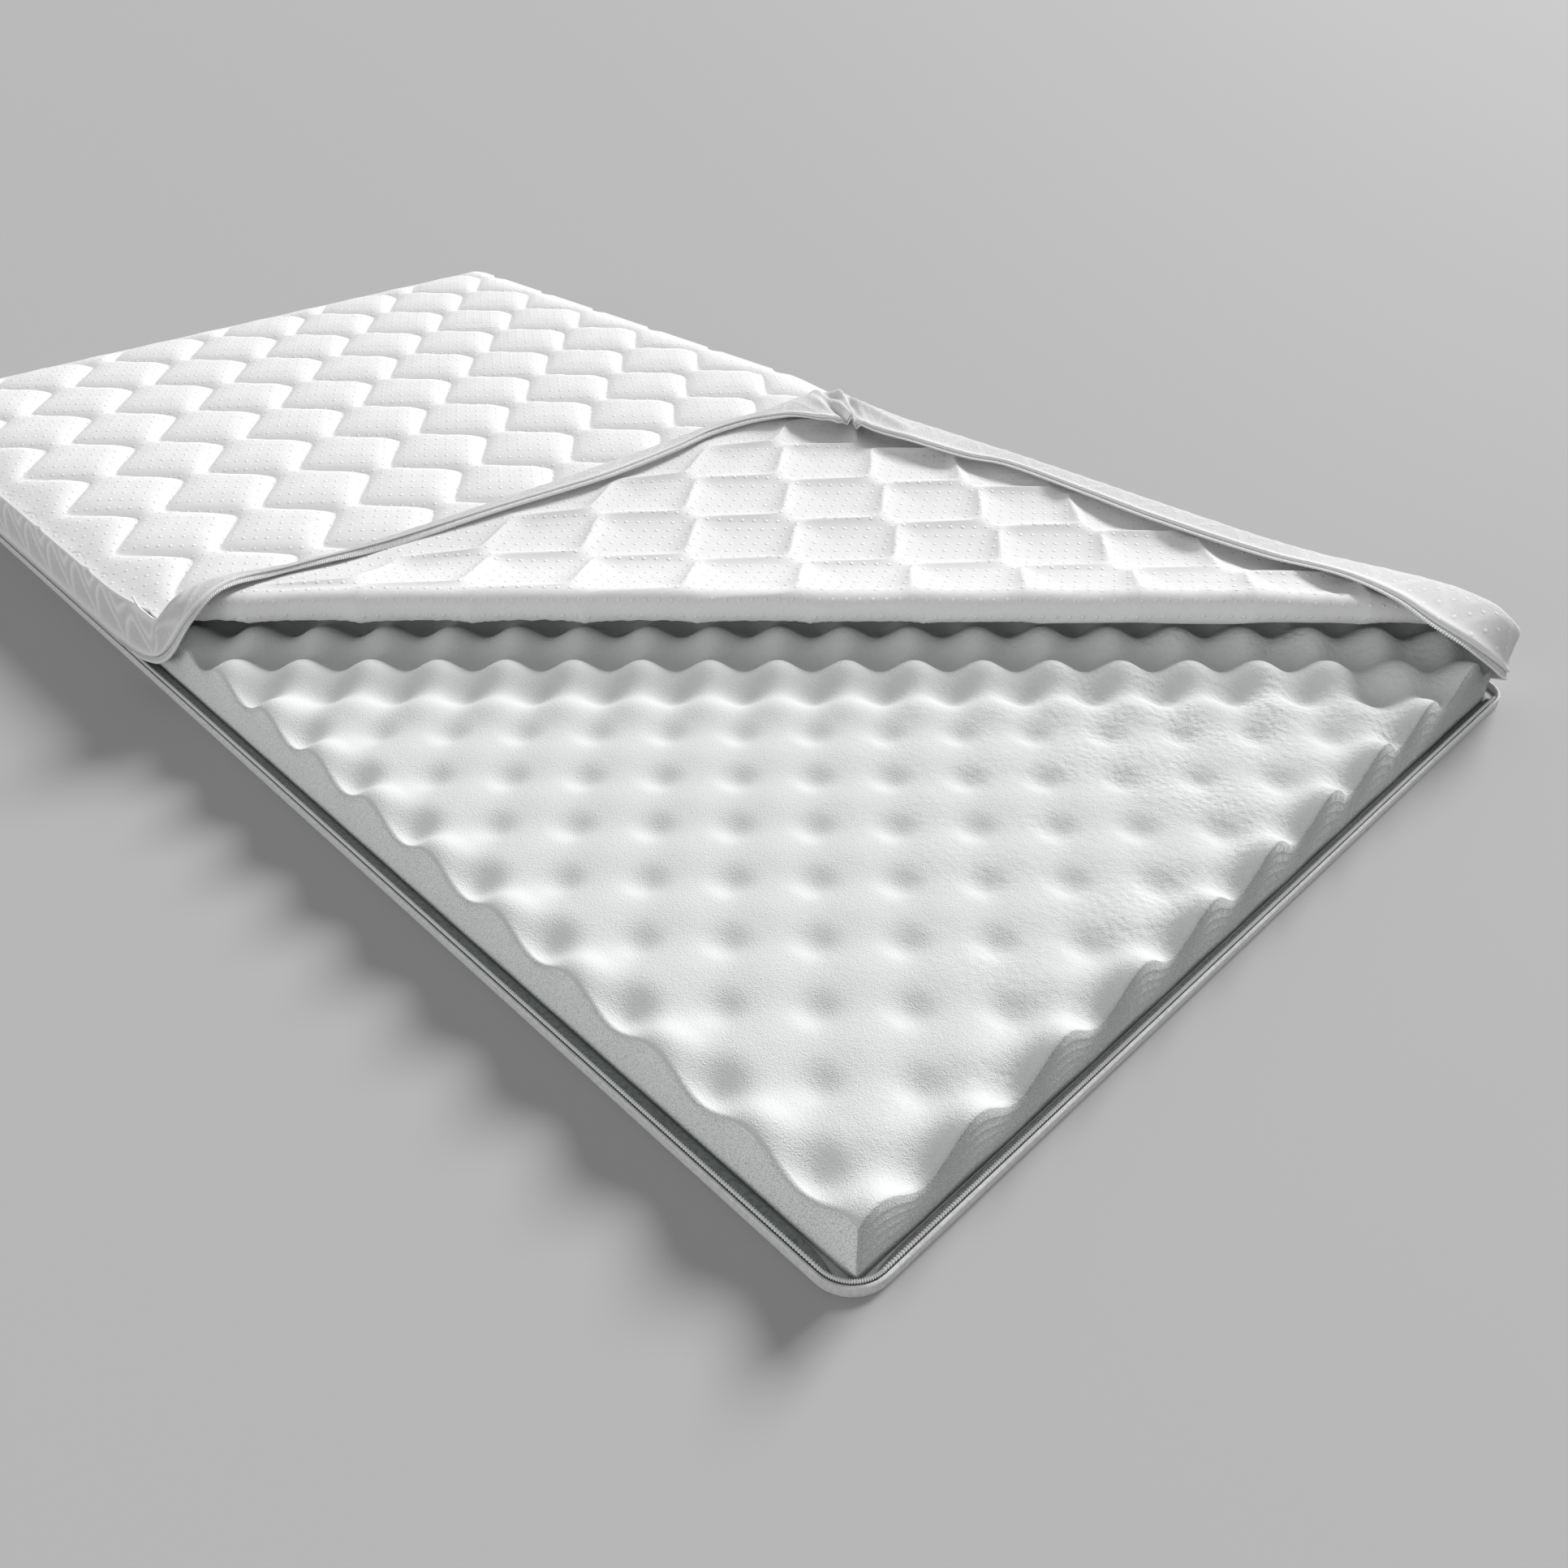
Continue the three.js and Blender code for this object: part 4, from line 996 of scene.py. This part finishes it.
def make_foam():
    """The top has the foam's own colour; the walls at the sides are painted lighter and the walls at the ends
    darker, as painted light and painted shade.
    """
    light, shade = (0.70, 0.716, 0.71), (0.61, 0.63, 0.623)
    material, w, shader = new_material("open-cell foam", light, 0.95)
    place = object_coordinates(w)
    split = w.tree.nodes.new("ShaderNodeSeparateXYZ")
    w.tree.links.new(place, split.inputs[0])
    rightward = w.step(w.math("SUBTRACT", split.outputs[0], split.outputs[1]), 0.3, 1.0)
    patch = w.step(w.noise(place, 14.0, 2.0), 0.35, 0.7)
    skin = w.math("MULTIPLY", rightward, w.math("ADD", w.math("MULTIPLY", patch, 0.9), 0.35))
    cells = w.group(open_cells, Place=place, Skin=skin)
    bump(w, shader, cells.outputs["Height"], 1.0 * MM)
    far_x = w.math("ABSOLUTE", split.outputs[0])
    far_y = w.math("ABSOLUTE", split.outputs[1])
    side_x = w.step(far_x, FOAM_HALF_X - WALL_DEPTH, FOAM_HALF_X - WALL_FULL)
    side_y = w.step(far_y, FOAM_HALF_Y - WALL_DEPTH, FOAM_HALF_Y - WALL_FULL)
    cut = w.math("MAXIMUM", side_x, side_y)
    # Painted light on the walls at the sides and painted shade on the walls at the ends.
    painted_wall_colour = w.mix_colour(side_y, SIDE_WALLS_PAINTED_LIGHT, END_WALLS_PAINTED_SHADE)
    dark = w.math("MULTIPLY", cells.outputs["Pore"], w.math("ADD", w.math("MULTIPLY", cut, 0.6), 0.4))
    outside = w.mix_colour(cut, (*light, 1), painted_wall_colour)
    w.feed(shader.inputs["Base Color"], w.mix_colour(dark, outside, (*shade, 1)))
    return material


foam = make_foam()


# %% Woven tape for the zip and the bound edge
def make_tape(name, light, shade):
    material, w, shader = new_material(name, light, 0.8)
    cloth = cloth_coordinates(w)
    loops = w.group(fine_loops, Cloth=cloth, Rib=0.9, Course=0.7)
    bump(w, shader, loops.outputs["Height"], 0.3 * MM)
    mask = w.step(loops.outputs["Fleck"], 0.6, 0.35)
    w.feed(shader.inputs["Base Color"], w.mix_colour(mask, (*light, 1), (*shade, 1)))
    return material


edge_tape = make_tape("bound edge weave", (0.92, 0.925, 0.92), (0.80, 0.805, 0.80))
rim_weave = make_tape("rim tape weave", (0.84, 0.845, 0.84), (0.70, 0.705, 0.70))
# Painted shade: the lower zip tape is coloured dark for the shade in the gap between the bound edge and the
# foam.
tray_weave_painted_shade = make_tape("tray tape weave", (0.30, 0.325, 0.315), (0.20, 0.22, 0.21))
teeth_nylon = new_material("nylon teeth", (0.85, 0.855, 0.85), 0.4)[0]


# %% [markdown]
# ## Dressing the pieces
# Each piece gets its finish; the table also names the slot of the imported part that the finish belongs to.
# Then the imported parts that the pieces stand in for are hidden.

# %% Dress each piece
for piece, finish, slot in (
    (quilted_lid, quilt_knit, "knit_cover"),
    (border_strip, border_knit_painted_light_and_shade, "knit_cover"),
    (bottom_cloth, bottom_knit, "knit_cover"),
    (foam_block, foam, "foam"),
    (rim_tape, rim_weave, "tape"),
    (tray_tape, tray_weave_painted_shade, "tape"),
    (bound_edge, edge_tape, "tape"),
    (tray_teeth, teeth_nylon, "tape"),
    (rim_teeth, teeth_nylon, "tape"),
):
    piece.data.materials.append(finish)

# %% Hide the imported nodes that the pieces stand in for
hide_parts("top_panel")
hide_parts("foam_core")
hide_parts("side_border")
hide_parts("upper_zip_tape")
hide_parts("bottom_panel")
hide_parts("edge_binding")
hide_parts("lower_zip_tape")

# %% [markdown]
# ## Camera and light
# The four long edges of the topper, and the real proportions that go with them, are enough to work out
# where a camera stood. Its place, angles and lens were solved from them, rather than tried by eye. The
# light is one broad sun low at the right and a weak one from the left, which draw the pads by their grey
# sides, and a pale sky that keeps the shadows soft.

# %% The camera, at the photograph's angle
IMAGE_SIDE = 1932
FOCAL_PIXELS = 1569
SENSOR = 36
CAMERA_PLACE = (-0.827, -1.232, 0.720)
PITCH, YAW, ROLL = math.radians(36.35), math.radians(44.01), math.radians(0.44)
forward = Vector((math.cos(PITCH) * math.sin(YAW), math.cos(PITCH) * math.cos(YAW), -math.sin(PITCH)))
level = Vector((math.cos(YAW), -math.sin(YAW), 0))
down = forward.cross(level)
right = level * math.cos(ROLL) + down * math.sin(ROLL)
down = down * math.cos(ROLL) - level * math.sin(ROLL)
camera_data = bpy.data.cameras.new("camera")
camera_data.sensor_width = SENSOR
camera_data.lens = FOCAL_PIXELS / IMAGE_SIDE * SENSOR
camera_data.clip_end = 60
camera = bpy.data.objects.new("camera", camera_data)
turn = Matrix((right, -down, -forward)).transposed()
camera.matrix_world = Matrix.Translation(CAMERA_PLACE) @ turn.to_4x4()
bpy.context.collection.objects.link(camera)
bpy.context.scene.camera = camera

# %% Floor and light
FLOOR_REACH = 30
SKY_STRENGTH = 0.38


def build_floor():
    bm = bmesh.new()
    bmesh.ops.create_grid(bm, x_segments=1, y_segments=1, size=FLOOR_REACH)
    mesh = bpy.data.meshes.new("floor")
    bm.to_mesh(mesh)
    bm.free()
    floor = bpy.data.objects.new("floor", mesh)
    bpy.context.collection.objects.link(floor)
    mesh.materials.append(new_material("pale floor", (0.42, 0.42, 0.42), 0.9)[0])


def sun_light(name, towards, power, spread):
    data = bpy.data.lights.new(name, "SUN")
    data.energy = power
    data.angle = math.radians(spread)
    light = bpy.data.objects.new(name, data)
    light.matrix_world = Vector(towards).to_track_quat("Z", "Y").to_matrix().to_4x4()
    bpy.context.collection.objects.link(light)


build_floor()
sun_light("key", (0.83, 0.10, 0.55), 3.8, 22)
sun_light("fill", (-0.97, 0.0, 0.18), 0.75, 40)
world = bpy.data.worlds.new("studio")
bpy.context.scene.world = world
world.use_nodes = True
world.node_tree.nodes["Background"].inputs["Color"].default_value = (1, 1, 1, 1)
world.node_tree.nodes["Background"].inputs["Strength"].default_value = SKY_STRENGTH
bpy.context.scene.view_settings.view_transform = "Standard"
